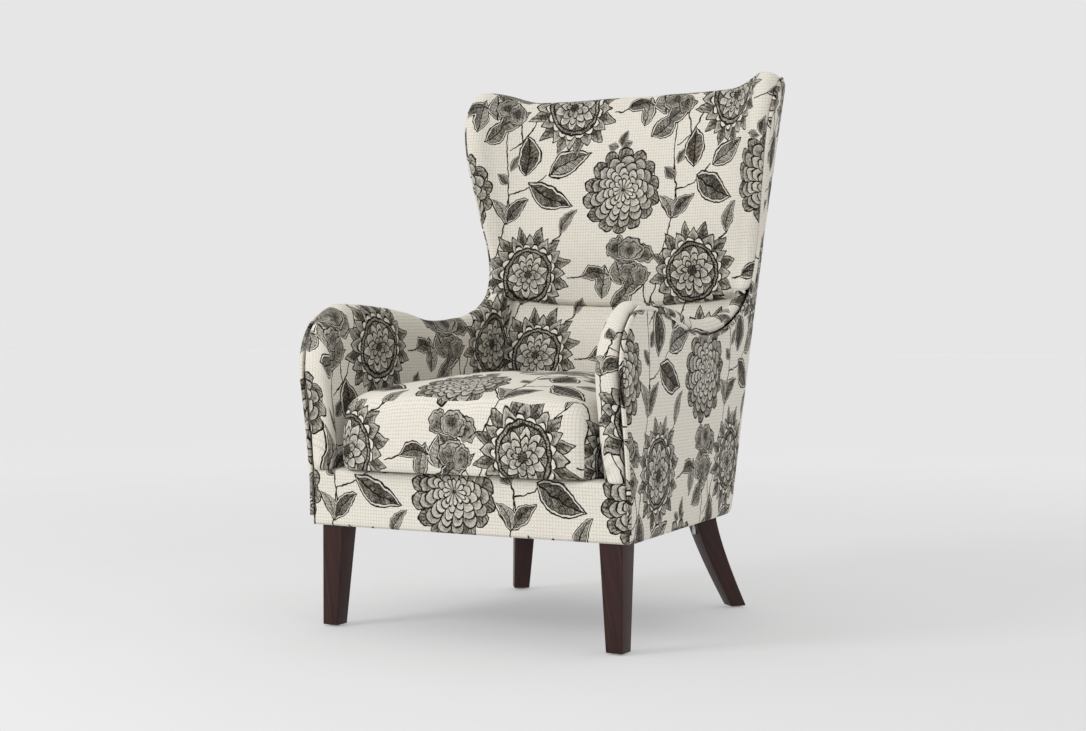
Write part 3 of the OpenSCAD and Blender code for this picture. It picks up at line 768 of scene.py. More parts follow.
def floral_print(g, u, v):
    """(ink, wash) of the print at the place u, v, in metres."""
    flat = g.join(u, v)
    wobble = g.drift(flat, 70.0, 1.0, 0.008)
    slow = g.drift(flat, 14.0, 0.0, 0.016)
    u, v = g.parts(g.vmath("ADD", flat, g.vmath("ADD", wobble, slow)))

    cells = print_cells()
    stems, leaves = by_cell(cells, STEMS), by_cell(cells, LEAVES)
    stem, best = None, None
    for cell in cells:
        place = print_place(g, u, v, cell)
        for motif in stems[cell]:
            stem = add_stem(g, place, stem, *motif)
        for motif in leaves[cell]:
            best = add_leaf(g, place, best, *motif)
    ink = 1 - stem.ramp(0.0011, 0.0004)
    look = g.join(ink, 0.0, 0.0)

    depth, leaf = best
    x, y = g.parts(leaf)
    dark = g.node("ShaderNodeSeparateXYZ", {}, {0: leaf}, 2)
    rim = (depth - 0.225).abs().under(0.028)
    rib = y.abs().under(0.045) * x.under(0.86)
    veins = g.math("MULTIPLY_ADD", x, 4.2, y.abs() * -2.2).fract().under(0.16)
    veins = veins * depth.over(0.24)
    hatch = g.math("MULTIPLY_ADD", x, 15.0, y * 6.0).fract().under(0.35)
    ink = g.math("MAXIMUM", depth.under(0.11), g.math("MAXIMUM", rim, rib))
    ink = g.math("MAXIMUM", ink, veins * 0.75)
    inside = depth.ramp(0.22, 0.05)
    half = g.math("MULTIPLY_ADD", y.over(0.0), 0.22, dark)
    wash = inside * (half * 0.72 + hatch * 0.30) + 0.06
    look = g.mixed(depth.ramp(0, 0.02), look, g.join(ink, wash, 1.0))

    place = print_place(g, u, v, POPPY_AT)
    for centre, size, turn in POPPY:
        x, y = g.turned(place, centre, size, turn)
        f = 1 - g.math("SQRT", g.math("MULTIPLY_ADD", x, x, y * y))
        f = f + (x * 9.0).sine() * 0.05 + (y * 8.0).sine() * 0.05
        ink = g.math("MAXIMUM", f.under(0.085), (f - 0.26).abs().under(0.03))
        wash = g.math("MULTIPLY_ADD", f.ramp(0.1, 0.7), 0.35, 0.32)
        look = g.mixed(f.ramp(0, 0.01), look, g.join(ink, wash, 1.0))

    for centre, rings in ((FLOWER_B_AT, FLOWER_B), (FLOWER_A_AT, FLOWER_A)):
        place = print_place(g, u, v, centre)
        look = add_rings(g, place, centre, rings, look)
    return look


def printed_weave(name):
    """Ivory basket weave with a charcoal and grey floral print."""
    g = Graph(name)
    uv = g.print_uv()
    u, v = g.parts(uv)

    # The weave: small blocks of thread, raised over and under by turns
    pitch = 0.0058
    warp = (u * (math.pi / pitch)).sine().abs()
    weft = (v * (math.pi / pitch)).sine().abs()
    blocks = g.math("MINIMUM", warp, weft).ramp(0.0, 0.6)
    threads = ((u + v) * (2 * math.pi / 0.0013)).sine()
    slubs = g.noise(g.local(uv, (0, 0), (0.012, 0.0022)), 1.0, 2.0)
    fuzz = g.noise(uv, 900.0, 2.0)
    height = blocks * 0.5 + threads * 0.12 + slubs * 0.5 + fuzz * 0.35
    weave_bump = g.bump(height, 0.55, 0.0007)
    cushioning = g.noise(uv, 9.0, 3.0)
    normal = g.bump(cushioning, 0.25, 0.004, weave_bump)

    look = floral_print(g, u, v)
    ink, wash = g.parts(look)
    patches = g.noise(uv, 46.0, 3.0)
    worn = g.noise(uv, 420.0, 2.0)
    wash = wash * g.math("MULTIPLY_ADD", patches, 2.6, 0.05)
    wash = g.math("MULTIPLY", wash, 1.0, clamp=True)
    strokes = g.noise(g.local(uv, (0, 0), (0.0014, 0.0060), 0.7), 1.0, 1.0).over(0.52)
    ink = g.math("MAXIMUM", ink, strokes * wash)
    ink = ink * g.math("MULTIPLY_ADD", worn, 1.2, 0.52)
    ink = g.math("MULTIPLY", ink, 0.97, clamp=True)
    tint = g.noise(uv, 17.0, 1.0).ramp(0.42, 0.2)
    ground = g.colour(g.noise(uv, 5.0, 2.0), rgb(0.79, 0.745, 0.655), rgb(0.83, 0.795, 0.715))
    filled = g.math("MAXIMUM", blocks, slubs.ramp(0.35, 0.4))
    shadow = g.colour(filled, rgb(0.585, 0.545, 0.465), ground)
    grey = g.colour(tint, rgb(0.098, 0.090, 0.072), rgb(0.138, 0.112, 0.082))
    colour = g.colour(wash, shadow, grey)
    colour = g.colour(ink, colour, rgb(0.010, 0.008, 0.0045))
    rough = g.math("MULTIPLY_ADD", fuzz, 0.12, 0.80)
    return g.finish(Base_Color=colour, Roughness=rough, Normal=normal,
                    Specular_IOR_Level=0.12, Sheen_Weight=0.03, Sheen_Roughness=0.5)


# ----------------------------------------------------------- other materials
def polished_wood(name):
    """Espresso-stained leg: grain runs up it, and its corners are rubbed paler."""
    g = Graph(name)
    uv = g.print_uv()
    grain = g.noise(g.local(uv, (0, 0), (0.004, 0.09)), 1.0, 5.0)
    pores = g.noise(g.local(uv, (0, 0), (0.0008, 0.012)), 1.0, 2.0)
    smear = g.noise(g.position(), 14.0, 2.0)
    colour = g.colour(grain.ramp(0.32, 0.36), rgb(0.012, 0.0024, 0.0016), rgb(0.040, 0.0075, 0.0050))
    colour = g.colour(pores.ramp(0.60, 0.1) * 0.6, colour, rgb(0.006, 0.003, 0.003))
    u, _ = g.parts(uv)
    corner = ((u * (1 / 0.04)).fract() - 0.5).abs().ramp(0.465, 0.03)
    colour = g.colour(corner * smear.ramp(0.35, 0.3) * 0.55, colour, rgb(0.085, 0.036, 0.024))
    rough = g.math("MULTIPLY_ADD", smear, 0.2, 0.34)
    normal = g.bump(grain * 0.6 + pores * 0.5, 0.22, 0.0006)
    return g.finish(Base_Color=colour, Roughness=rough, Normal=normal,
                    Specular_IOR_Level=0.3, Coat_Weight=0.08, Coat_Roughness=0.25)


def raw_wood(name, pale, dark, layers=0.0):
    """Unfinished frame timber; with layers, plywood."""
    g = Graph(name)
    p = g.position()
    grain = g.noise(g.local(p, (0, 0), (0.012, 0.05)), 6.0, 4.0)
    fine = g.noise(p, 260.0, 3.0)
    mark = grain.ramp(0.35, 0.3)
    if layers:
        x, _ = g.parts(p)
        mark = mark * 0.5 + (x * (1 / layers)).fract().over(0.5) * 0.5
    colour = g.colour(mark, rgb(*dark), rgb(*pale))
    rough = g.math("MULTIPLY_ADD", fine, 0.2, 0.62)
    return g.finish(Base_Color=colour, Roughness=rough,
                    Normal=g.bump(grain * 0.7 + fine * 0.3, 0.4, 0.0008))


def metal(name, pale, dark, rough_base):
    g = Graph(name)
    p = g.position()
    grime = g.noise(p, 60.0, 4.0)
    spangle = g.noise(p, 420.0, 1.0)
    colour = g.colour(grime.ramp(0.4, 0.25), rgb(*dark), rgb(*pale))
    rough = g.math("MULTIPLY_ADD", spangle, 0.2, rough_base)
    return g.finish(Base_Color=colour, Roughness=rough, Metallic=0.95,
                    Normal=g.bump(spangle, 0.15, 0.0003))


def plain_cloth(name, pale, dark, pitch, rough=0.85):
    """Plain woven lining, webbing or tape."""
    g = Graph(name)
    uv = g.print_uv()
    u, v = g.parts(uv)
    weave = (u * (2 * math.pi / pitch)).sine() * (v * (2 * math.pi / pitch)).sine()
    slub = g.noise(g.local(uv, (0, 0), (0.02, 0.003)), 1.0, 3.0)
    stain = g.noise(uv, 11.0, 2.0)
    colour = g.colour(weave.ramp(-0.8, 1.4), rgb(*dark), rgb(*pale))
    colour = g.colour(slub.ramp(0.45, 0.3) * 0.4, colour, rgb(*dark))
    return g.finish(Base_Color=colour, Roughness=g.math("MULTIPLY_ADD", stain, 0.15, rough - 0.08),
                    Normal=g.bump(weave * 0.6 + slub * 0.5, 0.5, 0.0005), Sheen_Weight=0.05)


def moulded(name, pale, dark, scale, rough=0.5):
    """Foam, wadding or nylon: one colour broken by its own grain."""
    g = Graph(name)
    p = g.position()
    cells = g.noise(p, scale, 3.0)
    cast = g.noise(p, 8.0, 2.0)
    colour = g.colour(cells.ramp(0.3, 0.4), rgb(*dark), rgb(*pale))
    return g.finish(Base_Color=colour, Roughness=g.math("MULTIPLY_ADD", cast, 0.2, rough),
                    Normal=g.bump(cells, 0.3, 0.0006))


PRINT = printed_weave("printed_fabric")
LEG_WOOD = polished_wood("espresso_wood")
LINING = plain_cloth("lining_cloth", (0.62, 0.59, 0.52), (0.46, 0.43, 0.37), 0.0016)
BLACK_LINING = plain_cloth("black_lining", (0.035, 0.035, 0.036), (0.015, 0.015, 0.016), 0.0012)
JUTE = plain_cloth("jute_webbing", (0.42, 0.29, 0.15), (0.22, 0.14, 0.07), 0.0030)
ZIP_TAPE = plain_cloth("zip_tape", (0.10, 0.10, 0.095), (0.05, 0.05, 0.05), 0.0011)
SLOT_MATERIALS = {
    "printed_fabric": PRINT,
    "espresso_wood": LEG_WOOD,
    "frame_hardwood": raw_wood("frame_hardwood", (0.52, 0.33, 0.17), (0.36, 0.21, 0.10)),
    "frame_plywood": raw_wood("frame_plywood", (0.60, 0.43, 0.25), (0.40, 0.26, 0.14), 0.003),
    "spring_steel": metal("spring_steel", (0.30, 0.30, 0.31), (0.12, 0.11, 0.11), 0.28),
    "zinc_steel": metal("zinc_steel", (0.62, 0.63, 0.66), (0.42, 0.42, 0.43), 0.30),
    "glide_nylon": moulded("glide_nylon", (0.72, 0.72, 0.70), (0.60, 0.60, 0.58), 300.0),
    "foam": moulded("foam", (0.78, 0.70, 0.45), (0.62, 0.54, 0.32), 700.0, 0.8),
    "fibre_wrap": moulded("fibre_wrap", (0.86, 0.86, 0.84), (0.74, 0.74, 0.72), 120.0, 0.85),
    "lining_cloth": BLACK_LINING,
    "jute_webbing": JUTE,
    "zip_tape": ZIP_TAPE,
}
for part in frame["record"]["subparts"]:
    node = frame["nodes"][part["node"]]
    node.data.materials.clear()
    node.data.materials.append(SLOT_MATERIALS[part["material_slot"]])


# ------------------------------------------------------- covers and their pads
def arc_uv(g, v_of, shift):
    """u along each row of the grid from its middle, v by height."""
    length = run(g, 0)
    middle = length[(g.shape[0] - 1) // 2]
    return np.stack([length - middle + shift[0], v_of + shift[1]], axis=2)


def dress(piece, body, nodes):
    """Ties the piece to a body and the nodes that it stands for."""
    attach(piece, body)
    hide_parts(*nodes)


def cover(piece, body, nodes):
    """Dresses a padded piece."""
    dress(piece, body, nodes)


# Inside back with both wings, one cloth carried over the top rail
OVER_TOP = 10  # rows of the cloth beyond the crest
across = both_ways(edged(104, (0.003,), (0.003,)))
up = edged(42, (0.006, 0.014, 0.03)) + [1 + s for s in steps(OVER_TOP)[1:]]
g = grid(across, up, lambda t, v: back_point(v, t))
climb = run(g, 1)
height = g[:, :, 2] + np.maximum(0, climb - climb[:, [len(up) - 1 - OVER_TOP]])
g = uneven(g, 1.6, 110, 3)
g = puckered(g, 2, 34, 1.6, 15, 4)
uv = arc_uv(g, height, (0, 0))
g, uv = tucked(rolled(g, (3, 3, 15, 2)), g, uv, (6, 6, 16, 0))
inside_back = upholster("inside_back", g, uv, 5, PRINT)
cover(inside_back, "chair",
      ["inside_back_cover", "back_pad", "wing_pad_left", "wing_pad_right"])

# Lumbar section under the crease
g = grid(both_ways(steps(44)), edged(26, (), (0.01, 0.03, 0.06)), lumbar_point)
uv = arc_uv(g, g[:, :, 2], (-29, 161))
g = uneven(g, 1.8, 80, 9)
g = puckered(g, 3, 30, 1.4, 14, 10)
g, uv = tucked(rolled(g, (3, 3, 2, 2)), g, uv, (4, 4, 0, 12))
lumbar = upholster("lumbar", g, uv, 4, PRINT)
cover(lumbar, "chair", ["lumbar_cover", "lumbar_pad"])

# Inside arms, carried over the arm top and round its front
ARM_PRINT = {"left": vec(-16, 142), "right": vec(0, 0)}
SIDE_PRINT = {"left": vec(60, 90), "right": vec(-97, 18)}
around = edged(62, (0.003, 0.008, 0.016), (0.004,))
inward = edged(30, (0.004, 0.010, 0.020, 0.045), (0.01,))
ARM_PAST = (16, 34, 52)
for side, sign in SIDES:
    g = grid(around, inward, arm_section)
    outline = np.array([arm_outline(u) for u in around])
    # The inner face lies flat in the print; past its turn the cloth runs square to the edge
    tangent = np.gradient(outline, axis=0)
    tangent /= np.linalg.norm(tangent, axis=1, keepdims=True)
    inward_way = np.stack([tangent[:, 1], -tangent[:, 0]], axis=1)
    turn = next(n for n, w in enumerate(inward) if w >= ARM_TURN)
    reach = run(g, 1)
    reach = np.maximum(0, reach[:, [turn]] - reach)
    flat = g[:, :, 1:].copy()
    flat[:, :turn] = flat[:, [turn]]
    flat -= inward_way[:, None, :] * reach[:, :, None]
    uv = np.stack([-sign * flat[:, :, 0], flat[:, :, 1]], axis=2) + ARM_PRINT[side]
    proud = np.array([5 + 3 * math.sin(math.pi * u) for u in around])
    from_welt = run(g, 1)
    near = np.clip(1 - from_welt / 95, 0, 1) ** 0.6 * np.clip(0.15 + from_welt / 16, 0, 1)
    g = g + normals(g) * (proud[:, None] * near)[:, :, None]
    g = uneven(g, 1.5, 70, 12)
    g = puckered(g, 2, 26, 1.2, 13, 15 + sign)
    g, uv = tucked(rolled(g, (3, 0, 13, 3)), g, uv, (14, 0, 6, 0))
    # The cloth's rear end runs on behind the lumbar and stops short of the outside back
    room = np.array([rear_y(p[2]) - 12 - p[1] for p in g[-1]])
    share = np.clip(room / ARM_PAST[-1], 0.1, 1)
    past = []
    for dy in ARM_PAST:
        row = g[-1].copy()
        row[:, 1] += dy * share
        for p in row:
            p[0] = min(p[0], side_x(p[1], p[2]) - SIDE_MIN)
        past.append(row)
    g = np.concatenate([g, past])
    uv = np.concatenate([uv, [uv[-1] + vec(-sign * dy, 0) for dy in ARM_PAST]])
    arm = upholster("inside_arm_" + side, g, uv, 4, PRINT, mirror=sign < 0)
    cover(arm, "chair",
          ["inside_arm_cover_" + side, "arm_pad_" + side])

# Band across the front of the base
g = grid(both_ways(edged(64, (0.004, 0.01), (0.004, 0.01))),
         edged(14, (0.02, 0.05, 0.09), (0.03, 0.07)), band_point)
uv = np.stack([g[:, :, 0] + 8, g[:, :, 2] + 548], axis=2)
g = uneven(g, 0.9, 60, 21)
g = puckered(g, 3, 24, 1.2, 13, 22)
g, uv = tucked(rolled(g, (5, 5, 7, 4)), g, uv, (6, 6, 8, 30))
band = upholster("front_band", g, uv, 4, PRINT)
cover(band, "chair", ["front_band"])

# Outside sides, each one panel from the arm to the top of the wing
for side, sign in SIDES:
    g = grid(edged(72, (0.002, 0.006), (0.003,)), edged(30, (0.006, 0.014), (0.006, 0.014)),
             side_point)
    uv = np.stack([sign * g[:, :, 1], g[:, :, 2]], axis=2) + SIDE_PRINT[side]
    g = uneven(g, 0.8, 120, 31)
    g = puckered(g, 3, 26, 1.0, 14, 33 + sign)
    g = rolled(g, (2, 3, 3, 2))
    panel = upholster("outside_side_" + side, g, uv, 1.8, PRINT, mirror=sign < 0)
    dress(panel, "chair", ["outside_side_cover_" + side])

# Outside back
g = grid(steps(40), both_ways(edged(30, (0.01,), (0.01,))), rear_point)
uv = np.stack([-g[:, :, 0], g[:, :, 2]], axis=2)
g = uneven(g, 0.9, 130, 41)
g = rolled(g, (2, 3, 3, 3))
outside_back = upholster("outside_back", g, uv, 1.8, PRINT)
dress(outside_back, "chair", ["outside_back_cover"])

# Self welts along both side edges
edge_path = [front_edge(mix(1 / 22, 1, t)) for t in steps(50)]
edge_path += [top_edge(t) for t in steps(110)[1:]]
for side, sign in SIDES:
    path = [vec(sign * (side_x(p[0], p[1]) - 1), p[0], p[1]) for p in edge_path]
    welt = tube("side_welt_" + side, path, WELT_R + 0.2, (sign * 60, 300), PRINT)
    cover(welt, "chair", ["side_welt_" + side])

# -------------------------------------------------------- loose seat cushion
CUSHION_L = 560
CUSHION_PRINT = vec(-63, -14)
CUSHION_FRONT = FRONT_Y + 0.5
SIDE_PROFILE = [(14, 120), (5.5, 110), (1.5, 95), (0, 72), (0, 45), (1, 20), (3, 7), (7, 0.5)]


def cushion_outline(s, t, inset):
    """Point on the plan outline, for s, t on the edge of the unit square."""
    corner = (abs(s) ** 9 + abs(t) ** 9) ** (-1 / 9)
    y = CUSHION_FRONT + CUSHION_L / 2 + t * corner * (CUSHION_L / 2 - inset)
    half = SEAT_HALF - 5 - 33 * (y - CUSHION_FRONT) / CUSHION_L
    return vec(s * corner * (half - inset), y)


def cushion_top(s, t):
    q = max(abs(s), abs(t))
    if q < 1e-6:
        return vec(0, CUSHION_FRONT + CUSHION_L / 2, CUSHION_Z + CUSHION_H + CROWN)
    edge = cushion_outline(s / q, t / q, 14)
    middle = vec(0, CUSHION_FRONT + CUSHION_L / 2)
    plan = mix(middle, edge, q)
    round_q = min(1.0, (abs(s) ** 4 + abs(t) ** 4) ** 0.25)
    rise = CROWN * (1 - mix(q, round_q, 1 - q) ** 2.6)
    return vec(plan[0], plan[1], CUSHION_Z + CUSHION_H + 2 + rise)


def cushion_mesh(name, material, cells=44, rows=12):
    """Crowned box cushion: one panel over front, top and back, and two side panels."""
    points, uv, faces, index = [], [], [], {}

    def vertex(i, j, k=0):
        """The point at i, j on the top or, on its outline, k rows down the boxing."""
        if (i, j, k) not in index:
            s, t = 2 * i / cells - 1, 2 * j / cells - 1
            if k == 0:
                p = cushion_top(s, t)
            else:
                inset, h = curve(SIDE_PROFILE, k / rows)
                p = vec(*cushion_outline(s, t, inset), CUSHION_Z + h)
            index[i, j, k] = len(points)
            points.append(p)
        return index[i, j, k]

    def add(corners, place):
        faces.append(corners)
        uv.extend(place(points[n]) for n in corners)

    def top_place(p):
        return vec(p[0], CUSHION_Z + CUSHION_H + 8 + (p[1] - CUSHION_FRONT)) + CUSHION_PRINT

    def bottom_place(p):
        return p[:2]

    for i in range(cells):
        for j in range(cells):
            add([vertex(i, j), vertex(i + 1, j), vertex(i + 1, j + 1), vertex(i, j + 1)], top_place)
    walls = [
        ([(i, 0) for i in range(cells + 1)], lambda p: vec(p[0], p[2]) + CUSHION_PRINT),
        ([(cells, j) for j in range(cells + 1)], lambda p: vec(p[1] + 700, p[2])),
        ([(cells - i, cells) for i in range(cells + 1)], lambda p: vec(-p[0] + 90, p[2])),
        ([(0, cells - j) for j in range(cells + 1)], lambda p: vec(-p[1] + 500, p[2])),
    ]
    for edge, place in walls:
        for (a, b), (c, d) in zip(edge, edge[1:]):
            for k in range(rows):
                add([vertex(a, b, k + 1), vertex(c, d, k + 1), vertex(c, d, k), vertex(a, b, k)],
                    place)
    # The bottom, as rings drawn in to its middle
    foot = [vertex(i, j, rows) for edge, place in walls for i, j in edge[:-1]]
    middle = vec(0, CUSHION_FRONT + CUSHION_L / 2, CUSHION_Z + 0.6)
    last = foot
    for ring in range(1, 8):
        now = [len(points) + n for n in range(len(foot))]
        points += [mix(middle, vec(*points[n][:2], middle[2]), 1 - ring / 8) for n in foot]
        for n in range(len(foot)):
            m = (n + 1) % len(foot)
            add([last[m], last[n], now[n], now[m]], bottom_place)
        last = now
    points.append(middle)
    for n in range(len(foot)):
        add([last[(n + 1) % len(foot)], last[n], len(points) - 1], bottom_place)
    return make_object(name, points, faces, uv, material, uv_by_corner=True)


def puff(piece, pressure, frames):
    """How far each point moves when the piece is inflated as cloth, in metres."""
    rest = np.array([v.co for v in piece.data.vertices])
    cloth = piece.modifiers.new("puff", "CLOTH")
    cloth.settings.use_pressure = True
    cloth.settings.uniform_pressure_force = pressure
    cloth.settings.effector_weights.gravity = 0
    cloth.settings.quality = 6
    cloth.settings.tension_stiffness = 18
    cloth.settings.compression_stiffness = 14
    cloth.settings.shear_stiffness = 8
    cloth.settings.bending_stiffness = 0.6
    cloth.point_cache.frame_start = 1
    cloth.point_cache.frame_end = frames
    for f in range(1, frames + 1):
        bpy.context.scene.frame_set(f)
    shape = piece.evaluated_get(bpy.context.evaluated_depsgraph_get())
    moved = np.array([v.co for v in shape.data.vertices]) - rest
    piece.modifiers.remove(cloth)
    bpy.context.scene.frame_set(1)
    return moved


# The cloth swells at the top and a little at the sides; its foot stays on the deck
SWELL_FRAMES = 20
SWELL_UP, SWELL_OUT = 0.010, 0.003  # the most it may move, in metres
cushion = cushion_mesh("seat_cushion", PRINT)
co = np.array([v.co for v in cushion.data.vertices])
raised = np.clip((co[:, 2] / MM - CUSHION_Z - 30) / 60, 0, 1)
lift = np.array([0.0020 * soft_noise(p / MM, 120, 51) + 0.0006 * soft_noise(p / MM, 30, 52)
                 for p in co])
moved = puff(cushion, 4.0, SWELL_FRAMES)
co[:, :2] += np.clip(moved[:, :2], -SWELL_OUT, SWELL_OUT) * raised[:, None]
lift += np.clip(moved[:, 2], -SWELL_UP, SWELL_UP)
co[:, 2] += lift * raised
cushion.data.vertices.foreach_set("co", co.astype(np.float32).ravel())
subdivide(cushion)
cover(cushion, "seat_cushion",
      ["cushion_top_cover", "cushion_core", "cushion_wrap", "cushion_bottom_cover"])


# ------------------------------------------------------------------ the legs
def leg(node, rings):
    """A wooden leg through square rings with eased corners, its grain running up it."""
    uv = []
    for ring in rings:
        length = 0.0
        for k, p in enumerate(ring):
            if k:
                length += np.linalg.norm(p - ring[k - 1])
            uv.append(vec(length, p[2]))
    piece = make_object(node + "_wood", *lofted(rings), uv, LEG_WOOD)
    piece.data.set_sharp_from_angle(angle=math.radians(50))
    dress(piece, "chair", [node])


def eased_square(centre, half, turn, z, ease=2.4):
    """Square ring with five points round each corner, turned about its centre."""
    ring = []
    c, s = math.cos(turn), math.sin(turn)
    for k in range(4):
        corner = math.radians(90 * k + 45)
        for a in (0, 22.5, 45, 67.5, 90):
            angle = math.radians(90 * k + a)
            x = (half - ease) * math.sqrt(2) * math.cos(corner) + ease * math.cos(angle)
            y = (half - ease) * math.sqrt(2) * math.sin(corner) + ease * math.sin(angle)
            ring.append(vec(centre[0] + c * x - s * y, centre[1] + s * x + c * y, z))
    return ring


LEG_CORNER = (BASE_W / 2 - 18, BASE_FRONT_Y - 3)
LEG_REAR = (193, BASE_REAR_Y - 31)
FOOT_BEVEL, REAR_SWEEP = 0.8, 1.25
REAR_TURN = math.atan2(REAR_RAKE, REAR_SPLAY)
REAR_THROW = math.hypot(REAR_RAKE, REAR_SPLAY)
leg_levels = [GLIDE_H, GLIDE_H + 1.2] + [mix(GLIDE_H, BASE_Z, s) for s in steps(14)[1:]]
for side, sign in SIDES:
    turn = REAR_TURN if sign > 0 else math.pi - REAR_TURN
    front_rings, rear_rings = [], []
    for z in leg_levels:
        r = (z - GLIDE_H) / (BASE_Z - GLIDE_H)
        size = mix(LEG_FOOT, LEG_TOP, r) / 2
        half = size - (FOOT_BEVEL if z == GLIDE_H else 0)
        centre = (sign * (LEG_CORNER[0] - size), LEG_CORNER[1] + size)
        front_rings.append(eased_square(centre, half, 0, z))
        out = REAR_THROW * (1 - r) ** REAR_SWEEP
        centre = (sign * LEG_REAR[0] + out * math.cos(turn), LEG_REAR[1] + out * math.sin(turn))
        rear_rings.append(eased_square(centre, half, turn, z))
    leg("front_leg_" + side, front_rings)
    leg("rear_leg_" + side, rear_rings)


# ------------------------------------------- seat deck, dust cover, webbing, zip
DECK_TAPER_Y = -270


def deck_half(y):
    front, rear = DECK_TAPER_Y, BASE_REAR_Y - 8
    t = clamp01((y - front) / (rear - front))
    return mix(BASE_W / 2 - 36, SEAT_HALF - 69, t)


deck_y = [mix(BASE_FRONT_Y - 4, BASE_REAR_Y - 9, s) for s in steps(36)]
g = grid(both_ways(steps(36)), deck_y,
         lambda s, y: vec(s * deck_half(y), y, DECK_Z - 1.2 - 2.0 * s * s))
uv = g[:, :, :2].copy()
g = uneven(g, 0.5, 60, 61)
g = rolled(g, (5, 5, 5, 5))
deck = upholster("seat_deck", g, uv, 6, LINING)
cover(deck, "chair", ["deck_pad", "deck_cloth"])


def cell_panel(name, xs, ys, place, keep, thick, material):
    """Closed thin cloth made of the grid cells that keep says are in it."""
    cells = [(i, j) for i in range(len(xs) - 1) for j in range(len(ys) - 1)
             if keep(place((xs[i] + xs[i + 1]) / 2, (ys[j] + ys[j + 1]) / 2))]
    index, points, faces, edges = {}, [], [], {}

    def corner(i, j, layer):
        if (i, j, layer) not in index:
            index[i, j, layer] = len(points)
            points.append(place(xs[i], ys[j]) + vec(0, 0, layer * thick))
        return index[i, j, layer]

    for i, j in cells:
        quad = [(i, j), (i + 1, j), (i + 1, j + 1), (i, j + 1)]
        faces.append([corner(a, b, 1) for a, b in quad])
        faces.append([corner(a, b, 0) for a, b in quad][::-1])
        for a, b in zip(quad, quad[1:] + quad[:1]):
            edges[(a, b)] = (b, a)
    for (a, b), back in edges.items():
        if back not in edges:
            faces.append([corner(*a, 0), corner(*b, 0), corner(*b, 1), corner(*a, 1)])
    return make_object(name, points, faces, [p[:2] for p in points], material)


def clear_of_legs(p):
    """Whether a point under the base is outside the four leg plates."""
    x, y = abs(p[0]), p[1]
    if abs(x - LEG_CORNER[0] + LEG_TOP / 2) < 24 and abs(y - LEG_CORNER[1] - LEG_TOP / 2) < 24:
        return False
    dx, dy = x - LEG_REAR[0], y - LEG_REAR[1]
    c, s = math.cos(REAR_TURN), math.sin(REAR_TURN)
    return abs(c * dx + s * dy) > 25 or abs(c * dy - s * dx) > 25


def under_base(s, y):
    t = clamp01((y - BASE_FRONT_Y) / (BASE_REAR_Y - BASE_FRONT_Y))
    half = mix(BASE_W / 2, rear_x(BASE_Z), t) - 8
    sag = 1.2 * (1 - s * s) * math.sin(math.pi * t)
    return vec(s * half, y, BASE_Z + 1.2 - sag)


dust = cell_panel(
    "dust_cover_cloth", both_ways(steps(56)),
    [mix(BASE_FRONT_Y - 5, BASE_REAR_Y - 6, s) for s in steps(50)],
    under_base, clear_of_legs, 0.8, BLACK_LINING)
dress(dust, "chair", ["dust_cover"])

# Jute webbing behind the back pads, three straps above and three below the middle rail
TUCK_Z, LUMBAR_Z, TOP_Z = BASE_Z + 150, ARM_Z + 24, BACK_Z - 54
STRAP_SECTION = ((-25, -0.8), (25, -0.8), (25, 0.8), (-25, 0.8))
strap_points, strap_faces, strap_uv = [], [], []
for x in (-130, 0, 130):
    for low, high in ((TUCK_Z + 26, LUMBAR_Z - 26), (LUMBAR_Z + 26, TOP_Z - 28)):
        rings = []
        for r in steps(24):
            z = mix(low, high, r)
            y = mix(rear_y(low), rear_y(high), r) - 14 - 1.5 * math.sin(math.pi * r)
            rings.append([vec(x + dx, y + dy, z) for dx, dy in STRAP_SECTION])
            strap_uv += [vec(dx, z) for dx, dy in STRAP_SECTION]
        points, faces = lofted(rings)
        strap_faces += [tuple(len(strap_points) + n for n in face) for face in faces]
        strap_points += points
straps = make_object("webbing_straps", strap_points, strap_faces, strap_uv, JUTE)
dress(straps, "chair", ["back_webbing"])
STRAP_RUN = (LUMBAR_Z - TUCK_Z - 52 + TOP_Z - LUMBAR_Z - 54) * 3
STRAP_RUN * MM * 1.012


def add_box(points, faces, low, high):
    n = len(points)
    for z in (low[2], high[2]):
        for x, y in ((low[0], low[1]), (high[0], low[1]), (high[0], high[1]), (low[0], high[1])):
            points.append(vec(x, y, z))
    faces += [(n + 3, n + 2, n + 1, n), (n + 4, n + 5, n + 6, n + 7)]
    for k in range(4):
        m = (k + 1) % 4
        faces.append((n + k, n + m, n + 4 + m, n + 4 + k))


# Zip along the back of the cushion: two tapes, the teeth between them and a slider
zip_y = CUSHION_FRONT + CUSHION_L + 0.4
zip_points, zip_faces = [], []
for low, high in ((CUSHION_Z + 14, CUSHION_Z + 19.4), (CUSHION_Z + 20.6, CUSHION_Z + 26)):
    add_box(zip_points, zip_faces, (-150, zip_y, low), (150, zip_y + 0.8, high))
for k in range(99):
    x, z = -148.5 + 3 * k, CUSHION_Z + 20 + (0.35 if k % 2 else -0.35)
    add_box(zip_points, zip_faces, (x - 1.1, zip_y + 0.2, z - 1.2), (x + 1.1, zip_y + 1.4, z + 1.2))
add_box(zip_points, zip_faces, (136, zip_y + 0.1, CUSHION_Z + 17), (146, zip_y + 1.6, CUSHION_Z + 23))
zip_strip = make_object("cushion_zip_strip", zip_points, zip_faces,
                        [vec(p[0], p[2]) for p in zip_points], ZIP_TAPE)
zip_strip.data.set_sharp_from_angle(angle=math.radians(30))
dress(zip_strip, "seat_cushion", ["cushion_zip"])

# -------------------------------------------------------- floor, light, camera
floor_graph = Graph("pale_floor")
mottle = floor_graph.noise(floor_graph.position(), 3.0, 3.0)
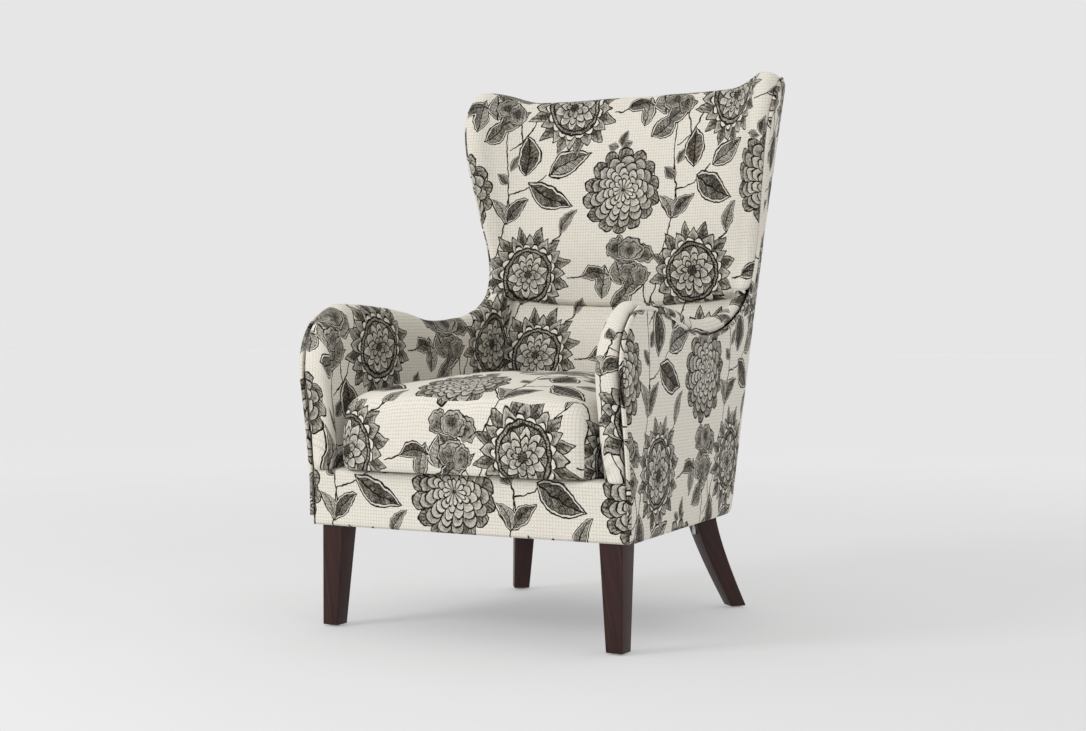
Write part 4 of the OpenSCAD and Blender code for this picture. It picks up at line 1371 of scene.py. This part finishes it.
# Beyond the lamps' reach the floor glows more, and meets the background without an edge
NEAR_GLOW, FAR_GLOW = 0.37, 0.1056
floor_x, floor_y = floor_graph.parts(floor_graph.position())
far_off = floor_graph.math("SQRT", floor_x * floor_x + floor_y * floor_y).ramp(1.3, 2.7)
floor_colour = floor_graph.colour(mottle, rgb(0.49, 0.49, 0.49), rgb(0.51, 0.51, 0.51))
floor_graph.finish(Base_Color=floor_colour, Roughness=0.9, Specular_IOR_Level=0.1,
                   Emission_Color=rgb(0.8, 0.8, 0.8), Emission_Strength=far_off * FAR_GLOW + NEAR_GLOW)
floor_mesh = bpy.data.meshes.new("floor")
FLOOR = 40.0
floor_corners = [(x * FLOOR, y * FLOOR, 0) for x, y in ((-1, -1), (1, -1), (1, 1), (-1, 1))]
floor_mesh.from_pydata(floor_corners, [], [(0, 1, 2, 3)])
floor_mesh.materials.append(floor_graph.material)
floor = bpy.data.objects.new("floor", floor_mesh)
bpy.context.scene.collection.objects.link(floor)

world = bpy.data.worlds.new("studio")
bpy.context.scene.world = world
world.use_nodes = True
sky = world.node_tree.nodes["Background"]
sky.inputs["Color"].default_value = rgb(0.80, 0.80, 0.80)
sky.inputs["Strength"].default_value = 0.99
bpy.context.scene.view_settings.view_transform = "Standard"


def softbox(name, place, target, size, power):
    light = bpy.data.lights.new(name, "AREA")
    light.shape = "RECTANGLE"
    light.size, light.size_y = size
    light.energy = power
    o = bpy.data.objects.new(name, light)
    o.location = place
    o.rotation_euler = (Vector(target) - Vector(place)).to_track_quat("-Z", "Y").to_euler()
    bpy.context.scene.collection.objects.link(o)


softbox("key", (-1.5, -2.7, 2.2), (0, 0, 0.55), (1.0, 1.0), 34)
softbox("front", (0.6, -3.2, 1.4), (0, 0, 0.4), (1.6, 1.6), 8)

CAMERA_AT = Vector((1.6537, -2.8594, 0.5215))
LOOK_AT = Vector((0.0, -0.036, 0.4486))
camera_data = bpy.data.cameras.new("camera")
camera_data.lens = 59.6
camera_data.sensor_width = 36
camera_data.shift_x = -0.0044
camera_data.shift_y = 0.0062
camera = bpy.data.objects.new("camera", camera_data)
camera.location = CAMERA_AT
camera.rotation_euler = (LOOK_AT - CAMERA_AT).to_track_quat("-Z", "Y").to_euler()
bpy.context.scene.collection.objects.link(camera)
bpy.context.scene.camera = camera
